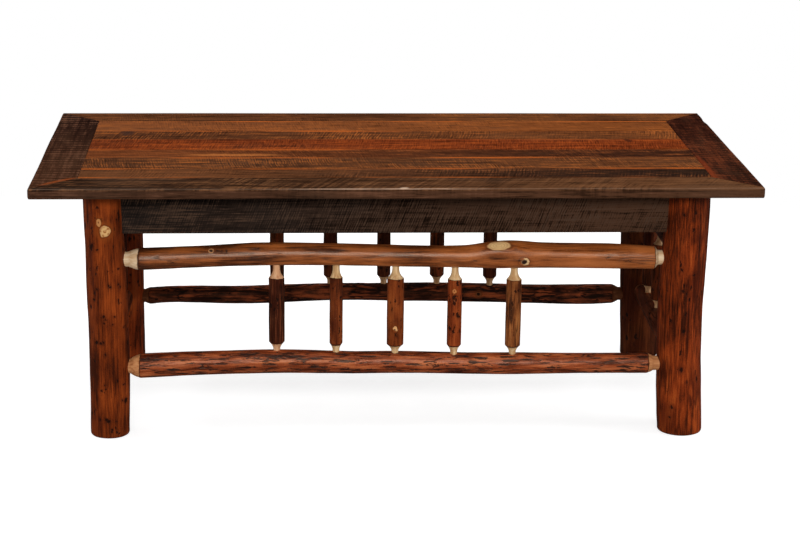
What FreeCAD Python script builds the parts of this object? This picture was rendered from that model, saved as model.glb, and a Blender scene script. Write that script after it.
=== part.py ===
import FreeCAD, Part
import os
import re

import Sketcher
from FreeCAD import Placement, Rotation, Vector

# Rustic coffee table: a barnwood top on a base of hickory logs.
# Millimetres. X runs along the table, Y towards its back, Z up, origin on the floor below its middle.

SIZES = {
    # Whole table
    "table_length": 1219.2,
    "table_width": 609.6,
    "table_height": 457.2,
    # Top boards
    "top_thickness": 19.0,
    "frame_board_width": 76.2,
    "seam_gap": 0.4,
    "tongue_thickness": 6.0,
    "tongue_length": 8.0,
    # Working clearance between wood and wood, and what a cutter runs past its work
    "wood_fit": 0.2,
    "cutter_overrun": 5.0,
    # Legs: the axis of each stands this far inside the edge of the top
    "leg_end_inset": 117.6,
    "leg_side_inset": 92.0,
    "front_left_leg_girth": 67.5,
    "front_right_leg_girth": 77.0,
    "back_left_leg_girth": 68.0,
    "back_right_leg_girth": 71.0,
    "leg_sway": 5.0,
    "foot_rounding": 4.0,
    # Aprons
    "apron_height": 79.0,
    "apron_thickness": 22.0,
    "tenon_core": 1.5,
    # Log rails: the height of the aprons above the ends of each, and the girths
    "front_upper_rail_height": 47.2,
    "front_lower_rail_height": 237.5,
    "back_upper_rail_height": 47.2,
    "back_lower_rail_height": 237.7,
    "left_upper_rail_height": 41.2,
    "left_lower_rail_height": 227.2,
    "right_upper_rail_height": 39.2,
    "right_lower_rail_height": 222.2,
    "front_rail_girth": 38.0,
    "back_rail_girth": 36.0,
    "end_rail_girth": 36.0,
    "rail_sway": 8.0,
    "rail_tenon_girth": 25.4,
    "rail_taper": 16.0,
    "rail_tenon_reveal": 5.0,
    # Spindles
    "spindle_spacing": 101.6,
    "spindle_girth": 26.0,
    "spindle_tenon_girth": 12.0,
    "spindle_lower_reveal": 4.5,
    "spindle_upper_reveal": 2.0,
    "spindle_lower_taper": 12.0,
    "spindle_upper_taper": 20.0,
    # Battens under the field planks: the outer ones stand this far inside the leg lines
    "batten_spacing": 192.0,
    "batten_width": 60.0,
    "batten_thickness": 19.0,
    "batten_housing": 8.0,
    "batten_screw_gap": 12.0,
    # Corner braces
    "brace_reach": 60.0,
    "brace_foot": 36.0,
    "brace_height": 42.0,
    "brace_seat": 12.0,
    # Screws
    "screw_shank": 4.2,
    "screw_head": 8.4,
    "screw_head_height": 2.6,
    "screw_bite": 12.0,
    "screw_fit": 0.1,
}

# Widths of the field planks, from the back to the front, as shares of the field.
PLANK_WIDTH_SHARES = (0.187, 0.155, 0.182, 0.140, 0.184, 0.152)

# Each leg: the signs of its corner, then its sections from the floor up. The axis wanders by shares
# of the leg sway, and the girth varies by shares of the leg's own girth.
LEG_LEVEL_SHARES = (0, 0.2, 0.4, 0.6, 0.8, 1)
# The rounded rim of a foot: height and inset of its steps as shares of the rounding.
FOOT_ROUNDING_SHARES = ((0, 1), (0.08, 0.62), (0.29, 0.29), (0.62, 0.08), (1, 0))
LEGS = {
    "front_left_leg": {
        "corner": (-1, -1),
        "along_shares": (0.12, 0.52, 0.56, 0.24, -0.16, -0.60),
        "across_shares": (0.30, 0.10, -0.20, -0.30, -0.10, 0.20),
        "girth_shares": (0.985, 1.0, 1.005, 1.0, 0.985, 0.975),
    },
    "front_right_leg": {
        "corner": (1, -1),
        "along_shares": (1.70, 0.80, 0.20, 0.20, 0.86, 1.08),
        "across_shares": (-0.30, 0.10, 0.40, 0.30, 0.0, -0.20),
        "girth_shares": (1.0, 1.01, 1.0, 1.02, 0.99, 0.975),
    },
    "back_left_leg": {
        "corner": (-1, 1),
        "along_shares": (0.20, 0.30, 0.50, 0.60, 0.50, 0.20),
        "across_shares": (0.40, 0.0, -0.30, -0.20, 0.10, 0.30),
        "girth_shares": (1.02, 1.0, 0.99, 0.98, 0.98, 0.97),
    },
    "back_right_leg": {
        "corner": (1, 1),
        "along_shares": (1.0, 0.30, -0.35, -0.70, -0.90, -1.0),
        "across_shares": (-0.20, 0.20, 0.50, 0.40, 0.20, 0.0),
        "girth_shares": (1.01, 1.0, 1.0, 0.99, 1.0, 0.98),
    },
}

# Each side of the table: the turn that takes its own frame, with the inside towards +Y, to its place,
# and the legs at its low and high ends in that frame.
SIDES = {
    "front": {"turn": 0, "legs": ("front_left_leg", "front_right_leg")},
    "right": {"turn": 90, "legs": ("front_right_leg", "back_right_leg")},
    "back": {"turn": 180, "legs": ("back_right_leg", "back_left_leg")},
    "left": {"turn": 270, "legs": ("back_left_leg", "front_left_leg")},
}
QUARTER_TURNS = {0: (1, 0), 90: (0, 1), 180: (-1, 0), 270: (0, -1)}

# Each log rail: its sections from the low end to the high end of its side. The axis rises and wanders
# by shares of the rail sway, and the girth varies by shares of the side's rail girth. Its low and high
# ends are peeled over shares of the rail taper.
RAILS = {
    "front_upper_rail": {
        "rise_shares": (0, 0.46, 1.0, 0.84, 0.60, 0.38, 0.79, 0.38, 0),
        "wander_shares": (0, 0.10, 0.25, 0.10, -0.15, -0.30, -0.15, 0.10, 0),
        "girth_shares": (0.94, 0.94, 1.01, 0.95, 0.95, 0.97, 1.16, 1.07, 1.04),
        "taper_shares": (1.0, 0.4),
    },
    "front_lower_rail": {
        "rise_shares": (0, 0.60, 0.96, 0.69, 0.45, 0.20, 0.04, -0.06, 0),
        "wander_shares": (0, -0.20, -0.30, -0.10, 0.15, 0.25, 0.10, 0.0, 0),
        "girth_shares": (1.0, 1.0, 0.97, 0.93, 0.91, 0.92, 0.92, 0.86, 0.84),
        "taper_shares": (0.75, 0.4),
    },
    "back_upper_rail": {
        "rise_shares": (0, 0.30, 0.55, 0.40, 0.25, 0.45, 0.60, 0.30, 0),
        "wander_shares": (0, 0.15, 0.25, 0.30, 0.10, -0.10, -0.20, -0.10, 0),
        "girth_shares": (1.04, 1.05, 1.02, 1.0, 0.98, 1.0, 1.05, 1.03, 1.0),
        "taper_shares": (0.7, 0.8),
    },
    "back_lower_rail": {
        "rise_shares": (0, -0.12, 0.25, 0.62, 0.74, 0.84, 0.38, 0.19, 0),
        "wander_shares": (0, -0.15, -0.25, 0.0, 0.20, 0.25, 0.10, 0.0, 0),
        "girth_shares": (1.02, 1.03, 1.0, 1.01, 0.94, 0.92, 0.95, 0.92, 0.89),
        "taper_shares": (0.8, 0.6),
    },
    "left_upper_rail": {
        "rise_shares": (0, 0.30, 0.45, 0.25, 0),
        "wander_shares": (0, 0.15, 0.25, 0.15, 0),
        "girth_shares": (0.96, 1.0, 1.04, 1.0, 0.97),
        "taper_shares": (0.8, 0.7),
    },
    "left_lower_rail": {
        "rise_shares": (0, 0.25, 0.30, 0.35, 0),
        "wander_shares": (0, -0.15, -0.20, -0.10, 0),
        "girth_shares": (1.0, 1.02, 0.98, 0.96, 0.94),
        "taper_shares": (0.7, 0.9),
    },
    "right_upper_rail": {
        "rise_shares": (0, -0.20, -0.30, -0.15, 0),
        "wander_shares": (0, 0.10, 0.20, 0.10, 0),
        "girth_shares": (1.0, 0.98, 0.96, 1.0, 1.02),
        "taper_shares": (0.7, 0.8),
    },
    "right_lower_rail": {
        "rise_shares": (0, 0.20, 0.35, 0.25, 0),
        "wander_shares": (0, 0.15, 0.20, 0.05, 0),
        "girth_shares": (0.98, 1.0, 1.03, 1.0, 0.96),
        "taper_shares": (0.8, 0.9),
    },
}
# The spindles enter every rail at this share of the sway above the height of its ends.
SPINDLE_SEAT_SHARE = 0.5
SPINDLE_GIRTH_SHARES = {
    "front": (1.02, 0.85, 1.10, 0.94, 1.0),
    "back": (1.0, 1.04, 0.98, 1.0, 1.02),
    "right": (0.96, 1.04, 0.98),
    "left": (1.02, 0.94, 1.0),
}
# A taper draws in to this share of its step at the middle of its length.
TAPER_STEP_SHARE = 0.72
SPINDLE_TAPER_STEP_SHARE = 0.42
SPINDLE_SWELL_SHARE = 1.03

FIELD_LENGTH = "(table_length - 2 * frame_board_width)"
FIELD_WIDTH = "(table_width - 2 * frame_board_width)"
LEG_LENGTH = "(table_height - top_thickness)"
LEG_ALONG = "(table_length / 2 - leg_end_inset)"
LEG_ACROSS = "(table_width / 2 - leg_side_inset)"
TONGUE_LOW = "((top_thickness - tongue_thickness) / 2)"
TONGUE_HIGH = "((top_thickness + tongue_thickness) / 2)"
GROOVE_DEPTH = "(tongue_length + wood_fit)"
APRON_STOP = "(apron_thickness / 2 + tenon_core)"
RAIL_STOP = "(rail_tenon_girth / 2 + tenon_core)"
APRON_INSIDE = "(apron_thickness / 2 + wood_fit)"
SCREW_BORE = "(screw_shank / 2 + screw_fit)"
COUNTERBORE = "(screw_head / 2 + screw_fit + wood_fit)"
BRACE_SCREW_REACH = "(brace_reach + brace_foot / 2)"
BRACE_SCREW_LEVEL = "(table_height - top_thickness - brace_height / 2)"
BATTEN_PLACES = (f"-({LEG_ALONG} - batten_spacing)", "0", f"({LEG_ALONG} - batten_spacing)")

ALIAS = re.compile(r"[a-z]+(?:_[a-z]+)+")
document = FreeCAD.newDocument("HickoryTable")
sheet = document.addObject("Spreadsheet::Sheet", "Sizes")
pieces = []


def fill_sheet():
    """Writes each driving dimension into a cell of its own, under its alias."""
    for row, (name, size) in enumerate(SIZES.items(), start=1):
        sheet.set(f"A{row}", name.replace("_", " "))
        sheet.set(f"B{row}", str(size))
        sheet.setAlias(f"B{row}", name)
    document.recompute()


def bind(target, path, formula):
    """Ties a property to a formula written in the aliases of the sheet."""
    target.setExpression(path, ALIAS.sub(lambda alias: f"Sizes.{alias.group()}", formula))


def bind_place(target, along, across, level):
    bind(target, "Placement.Base.x", along)
    bind(target, "Placement.Base.y", across)
    bind(target, "Placement.Base.z", level)


def turned_place(centre, offset, turn):
    """Global formulas of an offset (along, across) from a centre, in a frame turned by quarters."""
    cosine, sine = QUARTER_TURNS[turn]
    along = f"{centre[0]} + {cosine} * ({offset[0]}) - {sine} * ({offset[1]})"
    across = f"{centre[1]} + {sine} * ({offset[0]}) + {cosine} * ({offset[1]})"
    return along, across


def new_body(label):
    body = document.addObject("PartDesign::Body", label)
    body.Label = label
    pieces.append(body)
    return body


def new_sketch(body, role, offset="0"):
    """An empty sketch on one of the body's own planes, moved along the plane's normal."""
    plane = next(item for item in body.Origin.OriginFeatures if item.Role == role)
    sketch = body.newObject("Sketcher::SketchObject", "Sketch")
    sketch.AttachmentSupport = [(plane, "")]
    sketch.MapMode = "FlatFace"
    bind(sketch, "AttachmentOffset.Base.z", offset)
    return sketch


def fix_point(sketch, curve, point, across, along):
    for kind, formula in (("DistanceX", across), ("DistanceY", along)):
        constraint = sketch.addConstraint(Sketcher.Constraint(kind, -1, 1, curve, point, 0.0))
        bind(sketch, f"Constraints[{constraint}]", formula)


def draw_circle(sketch, across, along, radius):
    curve = sketch.addGeometry(Part.Circle(Vector(), Vector(0, 0, 1), 1), False)
    fix_point(sketch, curve, 3, across, along)
    constraint = sketch.addConstraint(Sketcher.Constraint("Radius", curve, 1))
    bind(sketch, f"Constraints[{constraint}]", radius)


def draw_outline(sketch, corners):
    """A closed outline of straight lines through corners given as pairs of formulas."""
    starts = [Rotation(Vector(0, 0, 1), 360 * step / len(corners)).multVec(Vector(1, 0, 0))
              for step in range(len(corners))]
    lines = []
    for start, finish in zip(starts, starts[1:] + starts[:1]):
        lines.append(sketch.addGeometry(Part.LineSegment(start, finish), False))
    for line, following in zip(lines, lines[1:] + lines[:1]):
        sketch.addConstraint(Sketcher.Constraint("Coincident", line, 2, following, 1))
    for line, (across, along) in zip(lines, corners):
        fix_point(sketch, line, 1, across, along)


def rectangle(low_across, high_across, low_along, high_along):
    return [(low_across, low_along), (high_across, low_along),
            (high_across, high_along), (low_across, high_along)]


def pad(body, sketch, length, side="One side"):
    feature = body.newObject("PartDesign::Pad", "Pad")
    feature.Profile = sketch
    feature.SideType = side
    bind(feature, "Length", length)
    return feature


def pocket(body, sketch, length, forward):
    """A pocket of a given depth, forward when it runs along the normal of its sketch."""
    feature = body.newObject("PartDesign::Pocket", "Pocket")
    feature.Profile = sketch
    feature.Reversed = forward
    bind(feature, "Length", length)
    return feature


def through_pocket(body, sketch):
    feature = body.newObject("PartDesign::Pocket", "Pocket")
    feature.Profile = sketch
    feature.Type = "ThroughAll"
    feature.SideType = "Symmetric"
    return feature


def loft(body, sketches, ruled=False):
    feature = body.newObject("PartDesign::AdditiveLoft", "Loft")
    feature.Profile = sketches[0]
    feature.Sections = sketches[1:]
    feature.Ruled = ruled
    return feature


def round_section(body, role, offset, across, along, radius):
    sketch = new_sketch(body, role, offset)
    draw_circle(sketch, across, along, radius)
    return sketch


def frame_board(side, length):
    """One mitred board of the frame, with its outer edge on the local X axis and a groove inside."""
    body = new_body(f"frame_board_{side}")
    mitre = new_sketch(body, "XY_Plane")
    draw_outline(mitre, [
        (f"-{length} / 2 + seam_gap", "0"),
        (f"{length} / 2 - seam_gap", "0"),
        (f"{length} / 2 - seam_gap - frame_board_width", "frame_board_width"),
        (f"-{length} / 2 + seam_gap + frame_board_width", "frame_board_width"),
    ])
    pad(body, mitre, "top_thickness")
    groove = new_sketch(body, "YZ_Plane")
    draw_outline(groove, rectangle(
        f"frame_board_width - {GROOVE_DEPTH}", "frame_board_width + cutter_overrun",
        f"{TONGUE_LOW} - wood_fit", f"{TONGUE_HIGH} + wood_fit"))
    through_pocket(body, groove)
    turn = SIDES[side]["turn"]
    body.Placement = Placement(Vector(), Rotation(Vector(0, 0, 1), turn))
    edge = "table_width / 2" if side in ("front", "back") else "table_length / 2"
    along, across = turned_place(("0", "0"), ("0", f"-{edge}"), turn)
    bind_place(body, along, across, LEG_LENGTH)


def plank_edge(number):
    """Where the back edge of a field plank lies, counted from the back; the last has a front edge too."""
    share = sum(PLANK_WIDTH_SHARES[:number - 1]) / sum(PLANK_WIDTH_SHARES)
    return f"({FIELD_WIDTH} * {0.5 - share:.6f})"


def plank_middle(number):
    return f"(({plank_edge(number)} + {plank_edge(number + 1)}) / 2)"


def screw_line(number):
    """Where the batten screws enter a field plank: its middle, or clear of the apron under an outer one."""
    clear = f"({LEG_ACROSS} - apron_thickness / 2 - batten_screw_gap)"
    if number == 1:
        return clear
    return f"-{clear}" if number == len(PLANK_WIDTH_SHARES) else plank_middle(number)


def field_plank(number):
    """A field plank, tongued at its back edge and ends and grooved at its front edge."""
    body = new_body(f"field_plank_{number}")
    half = f"(({plank_edge(number)} - {plank_edge(number + 1)} - seam_gap) / 2)"
    back_edge = [
        (half, "0"),
        (half, TONGUE_LOW),
        (f"{half} + tongue_length", TONGUE_LOW),
        (f"{half} + tongue_length", TONGUE_HIGH),
        (half, TONGUE_HIGH),
        (half, "top_thickness"),
    ]
    front_groove = [
        (f"-{half}", "top_thickness"),
        (f"-{half}", f"{TONGUE_HIGH} + wood_fit"),
        (f"-{half} + {GROOVE_DEPTH}", f"{TONGUE_HIGH} + wood_fit"),
        (f"-{half} + {GROOVE_DEPTH}", f"{TONGUE_LOW} - wood_fit"),
        (f"-{half}", f"{TONGUE_LOW} - wood_fit"),
        (f"-{half}", "0"),
    ]
    front_tongue = [(f"-({across})", along) for across, along in reversed(back_edge)]
    last = number == len(PLANK_WIDTH_SHARES)
    section = new_sketch(body, "YZ_Plane")
    draw_outline(section, back_edge + (front_tongue if last else front_groove))
    pad(body, section, f"{FIELD_LENGTH} + 2 * tongue_length - seam_gap", "Symmetric")
    shoulder = f"({FIELD_LENGTH} / 2 - seam_gap / 2)"
    tip = f"({shoulder} + tongue_length + cutter_overrun)"
    rabbet = new_sketch(body, "XZ_Plane")
    draw_outline(rabbet, rectangle(shoulder, tip, TONGUE_HIGH, "top_thickness + cutter_overrun"))
    draw_outline(rabbet, rectangle(shoulder, tip, "-cutter_overrun", TONGUE_LOW))
    draw_outline(rabbet, rectangle(f"-{tip}", f"-{shoulder}", TONGUE_HIGH, "top_thickness + cutter_overrun"))
    draw_outline(rabbet, rectangle(f"-{tip}", f"-{shoulder}", "-cutter_overrun", TONGUE_LOW))
    through_pocket(body, rabbet)
    bores = new_sketch(body, "XY_Plane")
    for place in BATTEN_PLACES:
        draw_circle(bores, place, f"{screw_line(number)} - {plank_middle(number)}", SCREW_BORE)
    pocket(body, bores, "screw_bite + wood_fit", forward=True)
    bind_place(body, "0", plank_middle(number), LEG_LENGTH)


def leg(label, spec):
    """A bowed log with slots for two aprons and bores for four log rails."""
    body = new_body(label)
    corner_along, corner_across = spec["corner"]
    sections = []
    for share, along, across, girth in zip(
            LEG_LEVEL_SHARES, spec["along_shares"], spec["across_shares"], spec["girth_shares"]):
        level = f"{LEG_LENGTH} * {share}" if share else "foot_rounding"
        sections.append(round_section(
            body, "XY_Plane", level, f"leg_sway * {along}", f"leg_sway * {across}",
            f"{label}_girth / 2 * {girth}"))
    loft(body, sections)
    along, across, girth = (spec[key][0] for key in ("along_shares", "across_shares", "girth_shares"))
    rounding = []
    for height_share, inset_share in FOOT_ROUNDING_SHARES:
        rounding.append(round_section(
            body, "XY_Plane", f"foot_rounding * {height_share}",
            f"leg_sway * {along}", f"leg_sway * {across}",
            f"{label}_girth / 2 * {girth} - foot_rounding * {inset_share}"))
    loft(body, rounding, ruled=True)
    end_side = "left" if corner_along < 0 else "right"
    long_side = "front" if corner_across < 0 else "back"
    cuts = (("YZ_Plane", long_side, -corner_along, 1), ("XZ_Plane", end_side, -corner_across, -1))
    for role, side, inward, normal in cuts:
        slot = new_sketch(body, role, f"{inward * normal} * {APRON_STOP}")
        draw_outline(slot, rectangle(
            f"-{APRON_INSIDE}", APRON_INSIDE,
            f"{LEG_LENGTH} - apron_height - wood_fit", f"{LEG_LENGTH} + cutter_overrun"))
        pocket(body, slot, f"{label}_girth", forward=inward * normal > 0)
        bores = new_sketch(body, role, f"{inward * normal} * {RAIL_STOP}")
        for tier in ("upper", "lower"):
            draw_circle(bores, "0", rail_level(side, tier), "rail_tenon_girth / 2 + wood_fit")
        pocket(body, bores, f"{label}_girth", forward=inward * normal > 0)
    bind_place(body, f"{corner_along} * {LEG_ALONG}", f"{corner_across} * {LEG_ACROSS}", "0")


def place_on_side(body, side, level, place="0"):
    """Puts a piece modelled along X with the inside towards +Y on the leg line of its side."""
    turn = SIDES[side]["turn"]
    body.Placement = Placement(Vector(), Rotation(Vector(0, 0, 1), turn))
    line = LEG_ACROSS if side in ("front", "back") else LEG_ALONG
    along, across = turned_place(("0", "0"), (place, f"-{line}"), turn)
    bind_place(body, along, across, level)


def leg_line(side):
    """Half the distance between the axes of the two legs of a side."""
    return LEG_ALONG if side in ("front", "back") else LEG_ACROSS


def apron(side):
    """A sawn board housed in two legs, bored for the brace screws, and notched for the battens."""
    body = new_body(f"{side}_apron")
    outline = new_sketch(body, "XZ_Plane")
    end = f"({leg_line(side)} - {APRON_STOP} - wood_fit)"
    draw_outline(outline, rectangle(f"-{end}", end, "0", "apron_height"))
    pad(body, outline, "apron_thickness", "Symmetric")
    bores = new_sketch(body, "XZ_Plane", "-apron_thickness / 2")
    level = "apron_height - brace_height / 2"
    for sign in ("-", ""):
        draw_circle(bores, f"{sign}({leg_line(side)} - {BRACE_SCREW_REACH})", level, SCREW_BORE)
    pocket(body, bores, "screw_bite + wood_fit", forward=True)
    if side in ("front", "back"):
        notches = new_sketch(body, "XZ_Plane", "-apron_thickness / 2")
        for place in BATTEN_PLACES:
            draw_outline(notches, rectangle(
                f"{place} - batten_width / 2 - wood_fit", f"{place} + batten_width / 2 + wood_fit",
                "apron_height - batten_thickness - wood_fit", "apron_height + cutter_overrun"))
        pocket(body, notches, "batten_housing + wood_fit", forward=True)
    place_on_side(body, side, f"{LEG_LENGTH} - apron_height")


def spindle_places(side):
    count = len(SPINDLE_GIRTH_SHARES[side])
    return [f"{number - (count - 1) / 2} * spindle_spacing" for number in range(count)]


def girth_of_rails(side):
    return f"{side}_rail_girth" if side in ("front", "back") else "end_rail_girth"


def rail_level(side, tier):
    """Height above the floor of the two ends of a rail."""
    return f"({LEG_LENGTH} - apron_height - {side}_{tier}_rail_height)"


def rail_face(side, tier, number):
    """Height above the floor of a rail's surface where one spindle, counted from one, enters it."""
    spec = RAILS[f"{side}_{tier}_rail"]
    section = number - 1 + (len(spec["girth_shares"]) - len(SPINDLE_GIRTH_SHARES[side])) // 2
    sign = "-" if tier == "upper" else "+"
    return (f"({rail_level(side, tier)} + rail_sway * {spec['rise_shares'][section]}"
            f" {sign} {girth_of_rails(side)} / 2 * {spec['girth_shares'][section]})")


def log_rail(side, tier):
    """A bowed log, tapered to a round tenon at each end and bored for the spindles of its side."""
    label = f"{side}_{tier}_rail"
    spec = RAILS[label]
    body = new_body(label)
    log_girth = girth_of_rails(side)
    tenon = f"({leg_line(side)} - {RAIL_STOP} - wood_fit)"
    low_leg, high_leg = SIDES[side]["legs"]
    low_taper = f"({leg_line(side)} - {low_leg}_girth / 2 - rail_tenon_reveal)"
    high_taper = f"({leg_line(side)} - {high_leg}_girth / 2 - rail_tenon_reveal)"
    low_bark = f"({low_taper} - rail_taper * {spec['taper_shares'][0]})"
    high_bark = f"({high_taper} - rail_taper * {spec['taper_shares'][1]})"
    spindles = spindle_places(side)
    if len(spec["rise_shares"]) > len(spindles) + 2:
        low_middle = f"(-{low_bark} + {spindles[0]}) / 2"
        high_middle = f"({high_bark} + {spindles[-1]}) / 2"
        stations = [f"-{low_bark}", low_middle, *spindles, high_middle, high_bark]
    else:
        stations = [f"-{low_bark}", *spindles, high_bark]
    sections = []
    for station, wander, rise, girth in zip(
            stations, spec["wander_shares"], spec["rise_shares"], spec["girth_shares"]):
        sections.append(round_section(
            body, "YZ_Plane", station, f"rail_sway * {wander}", f"rail_sway * {rise}",
            f"{log_girth} / 2 * {girth}"))
    loft(body, sections)
    ends = (("-", low_bark, low_taper, spec["girth_shares"][0]),
            ("", high_bark, high_taper, spec["girth_shares"][-1]))
    for sign, bark, taper, girth in ends:
        bark_radius = f"({log_girth} / 2 * {girth})"
        steps = (
            (bark, bark_radius),
            (f"({bark} + {taper}) / 2",
             f"rail_tenon_girth / 2 + {TAPER_STEP_SHARE} * ({bark_radius} - rail_tenon_girth / 2)"),
            (taper, "rail_tenon_girth / 2"),
            (tenon, "rail_tenon_girth / 2"),
        )
        loft(body, [round_section(body, "YZ_Plane", f"{sign}({place})", "0", "0", radius)
                    for place, radius in steps], ruled=True)
    seat = new_sketch(body, "XY_Plane", f"{SPINDLE_SEAT_SHARE} * rail_sway")
    for place in spindles:
        draw_circle(seat, place, "0", "spindle_tenon_girth / 2 + wood_fit")
    pocket(body, seat, log_girth, forward=tier == "lower")
    place_on_side(body, side, rail_level(side, tier))


def spindle(side, number, place, girth):
    """A stick between two rails, drawn in to a round tenon at each end."""
    body = new_body(f"{side}_spindle_{number}")
    base = f"({rail_level(side, 'lower')} + {SPINDLE_SEAT_SHARE} * rail_sway + wood_fit)"
    length = f"({rail_level(side, 'upper')} + {SPINDLE_SEAT_SHARE} * rail_sway - wood_fit - {base})"
    tenon = "spindle_tenon_girth / 2"
    bark = f"(spindle_girth / 2 * {girth})"
    throat = f"({tenon} + {SPINDLE_TAPER_STEP_SHARE} * ({bark} - {tenon}))"
    low = f"({rail_face(side, 'lower', number)} + spindle_lower_reveal - {base})"
    high = f"({rail_face(side, 'upper', number)} - spindle_upper_reveal - {base})"
    outline = new_sketch(body, "XZ_Plane")
    draw_outline(outline, [
        ("0", "0"),
        (tenon, "0"),
        (tenon, low),
        (throat, f"{low} + spindle_lower_taper / 2"),
        (bark, f"{low} + spindle_lower_taper"),
        (f"{bark} * {SPINDLE_SWELL_SHARE}", f"({low} + {high}) / 2"),
        (bark, f"{high} - spindle_upper_taper"),
        (throat, f"{high} - spindle_upper_taper / 2"),
        (tenon, high),
        (tenon, length),
        ("0", length),
    ])
    turning = body.newObject("PartDesign::Revolution", "Revolution")
    turning.Profile = outline
    turning.ReferenceAxis = (outline, ["V_Axis"])
    turning.Angle = 360
    place_on_side(body, side, base, place)


def batten(number, place):
    """A flat bar under the field planks, let into the front and back aprons."""
    body = new_body(f"top_batten_{number}")
    end = f"({LEG_ACROSS} - apron_thickness / 2 + batten_housing)"
    outline = new_sketch(body, "XY_Plane")
    draw_outline(outline, rectangle("-batten_width / 2", "batten_width / 2", f"-{end}", end))
    pad(body, outline, "batten_thickness")
    bores = new_sketch(body, "XY_Plane")
    for plank in range(1, len(PLANK_WIDTH_SHARES) + 1):
        draw_circle(bores, "0", screw_line(plank), SCREW_BORE)
    through_pocket(body, bores)
    bind_place(body, place, "0", f"{LEG_LENGTH} - batten_thickness")


def corner_brace(label, centre, turn):
    """A block across the corner of two aprons, drawn from the leg axis with the inside at +X +Y."""
    body = new_body(label)
    outline = new_sketch(body, "XY_Plane")
    draw_outline(outline, [
        ("brace_reach", APRON_INSIDE),
        ("brace_reach + brace_foot", APRON_INSIDE),
        (APRON_INSIDE, "brace_reach + brace_foot"),
        (APRON_INSIDE, "brace_reach"),
    ])
    pad(body, outline, "brace_height")
    seat = f"{APRON_INSIDE} + brace_seat"
    for role, normal in (("XZ_Plane", -1), ("YZ_Plane", 1)):
        bore = new_sketch(body, role)
        draw_circle(bore, BRACE_SCREW_REACH, "brace_height / 2", SCREW_BORE)
        pocket(body, bore, "brace_reach + brace_foot", forward=normal > 0)
        recess = new_sketch(body, role, f"{normal} * ({seat})")
        draw_circle(recess, BRACE_SCREW_REACH, "brace_height / 2", COUNTERBORE)
        pocket(body, recess, "brace_reach + brace_foot", forward=normal > 0)
    body.Placement = Placement(Vector(), Rotation(Vector(0, 0, 1), turn))
    bind_place(body, centre[0], centre[1], f"{LEG_LENGTH} - brace_height")


def screw(length, rotation, along, across, level):
    """One wood screw with its seat at the given place and its shank along the turned Z axis."""
    shank = document.addObject("Part::Cylinder", "Shank")
    bind(shank, "Radius", "screw_shank / 2")
    bind(shank, "Height", length)
    head = document.addObject("Part::Cylinder", "Head")
    bind(head, "Radius", "screw_head / 2")
    bind(head, "Height", "screw_head_height")
    bind(head, "Placement.Base.z", "-screw_head_height")
    whole = document.addObject("Part::Fuse", "Screw")
    whole.Base = shank
    whole.Tool = head
    whole.Placement = Placement(Vector(), rotation)
    bind_place(whole, along, across, level)
    return whole


def screw_group(label, screws):
    group = document.addObject("Part::Compound", label)
    group.Label = label
    group.Links = screws
    pieces.append(group)


def batten_screws():
    screws = []
    for place in BATTEN_PLACES:
        for plank in range(1, len(PLANK_WIDTH_SHARES) + 1):
            screws.append(screw("batten_thickness + screw_bite", Rotation(), place,
                                screw_line(plank), f"{LEG_LENGTH} - batten_thickness"))
    screw_group("batten_screws", screws)


def corners():
    """The centre, as formulas, and the turn of each corner of the base."""
    return {
        "front_left": ((f"-{LEG_ALONG}", f"-{LEG_ACROSS}"), 0),
        "front_right": ((LEG_ALONG, f"-{LEG_ACROSS}"), 90),
        "back_right": ((LEG_ALONG, LEG_ACROSS), 180),
        "back_left": ((f"-{LEG_ALONG}", LEG_ACROSS), 270),
    }


def brace_screws():
    seat = f"({APRON_INSIDE} + brace_seat)"
    length = "brace_seat + wood_fit + screw_bite"
    ways = (
        ((BRACE_SCREW_REACH, seat), Rotation(Vector(1, 0, 0), 90)),
        ((seat, BRACE_SCREW_REACH), Rotation(Vector(0, 1, 0), -90)),
    )
    screws = []
    for centre, turn in corners().values():
        for offset, tilt in ways:
            along, across = turned_place(centre, offset, turn)
            rotation = Rotation(Vector(0, 0, 1), turn).multiply(tilt)
            screws.append(screw(length, rotation, along, across, BRACE_SCREW_LEVEL))
    screw_group("brace_screws", screws)


def build_top():
    for side in SIDES:
        frame_board(side, "table_length" if side in ("front", "back") else "table_width")
    for number in range(1, len(PLANK_WIDTH_SHARES) + 1):
        field_plank(number)
    for number, place in enumerate(BATTEN_PLACES, start=1):
        batten(number, place)
    batten_screws()


def build_base():
    for label, spec in LEGS.items():
        leg(label, spec)
    for side in SIDES:
        apron(side)
        for tier in ("upper", "lower"):
            log_rail(side, tier)
        girths = SPINDLE_GIRTH_SHARES[side]
        for number, (place, girth) in enumerate(zip(spindle_places(side), girths), start=1):
            spindle(side, number, place, girth)
    for name, (centre, turn) in corners().items():
        corner_brace(f"{name}_brace", centre, turn)
    brace_screws()


def check_model():
    """Stops if any object failed, any piece is not a valid solid, or any pocket cut nothing."""
    for item in document.Objects:
        if "Invalid" in item.State or "Error" in item.State:
            raise RuntimeError(f"{item.Label} ({item.Name}) failed: {item.State}")
        if item.TypeId == "PartDesign::Pocket" and item.Shape.Volume >= item.BaseFeature.Shape.Volume:
            raise RuntimeError(f"{item.Name} in {item.getParentGeoFeatureGroup().Label} cuts nothing")
    for piece in pieces:
        if piece.Shape.isNull() or not piece.Shape.isValid() or not piece.Shape.Solids:
            raise RuntimeError(f"{piece.Label} has no valid solid")


def write_parts():
    os.makedirs("parts", exist_ok=True)
    for piece in pieces:
        piece.Shape.exportStep(f"parts/{piece.Label}.step")
        print(f"{piece.Label}: {len(piece.Shape.Solids)} solid, {piece.Shape.Volume / 1000:.1f} cm3")


fill_sheet()
build_top()
build_base()
document.recompute()
check_model()
write_parts()
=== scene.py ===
import math

import bmesh
import bpy
from mathutils import Matrix, Vector, noise
from mathutils.bvhtree import BVHTree


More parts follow.
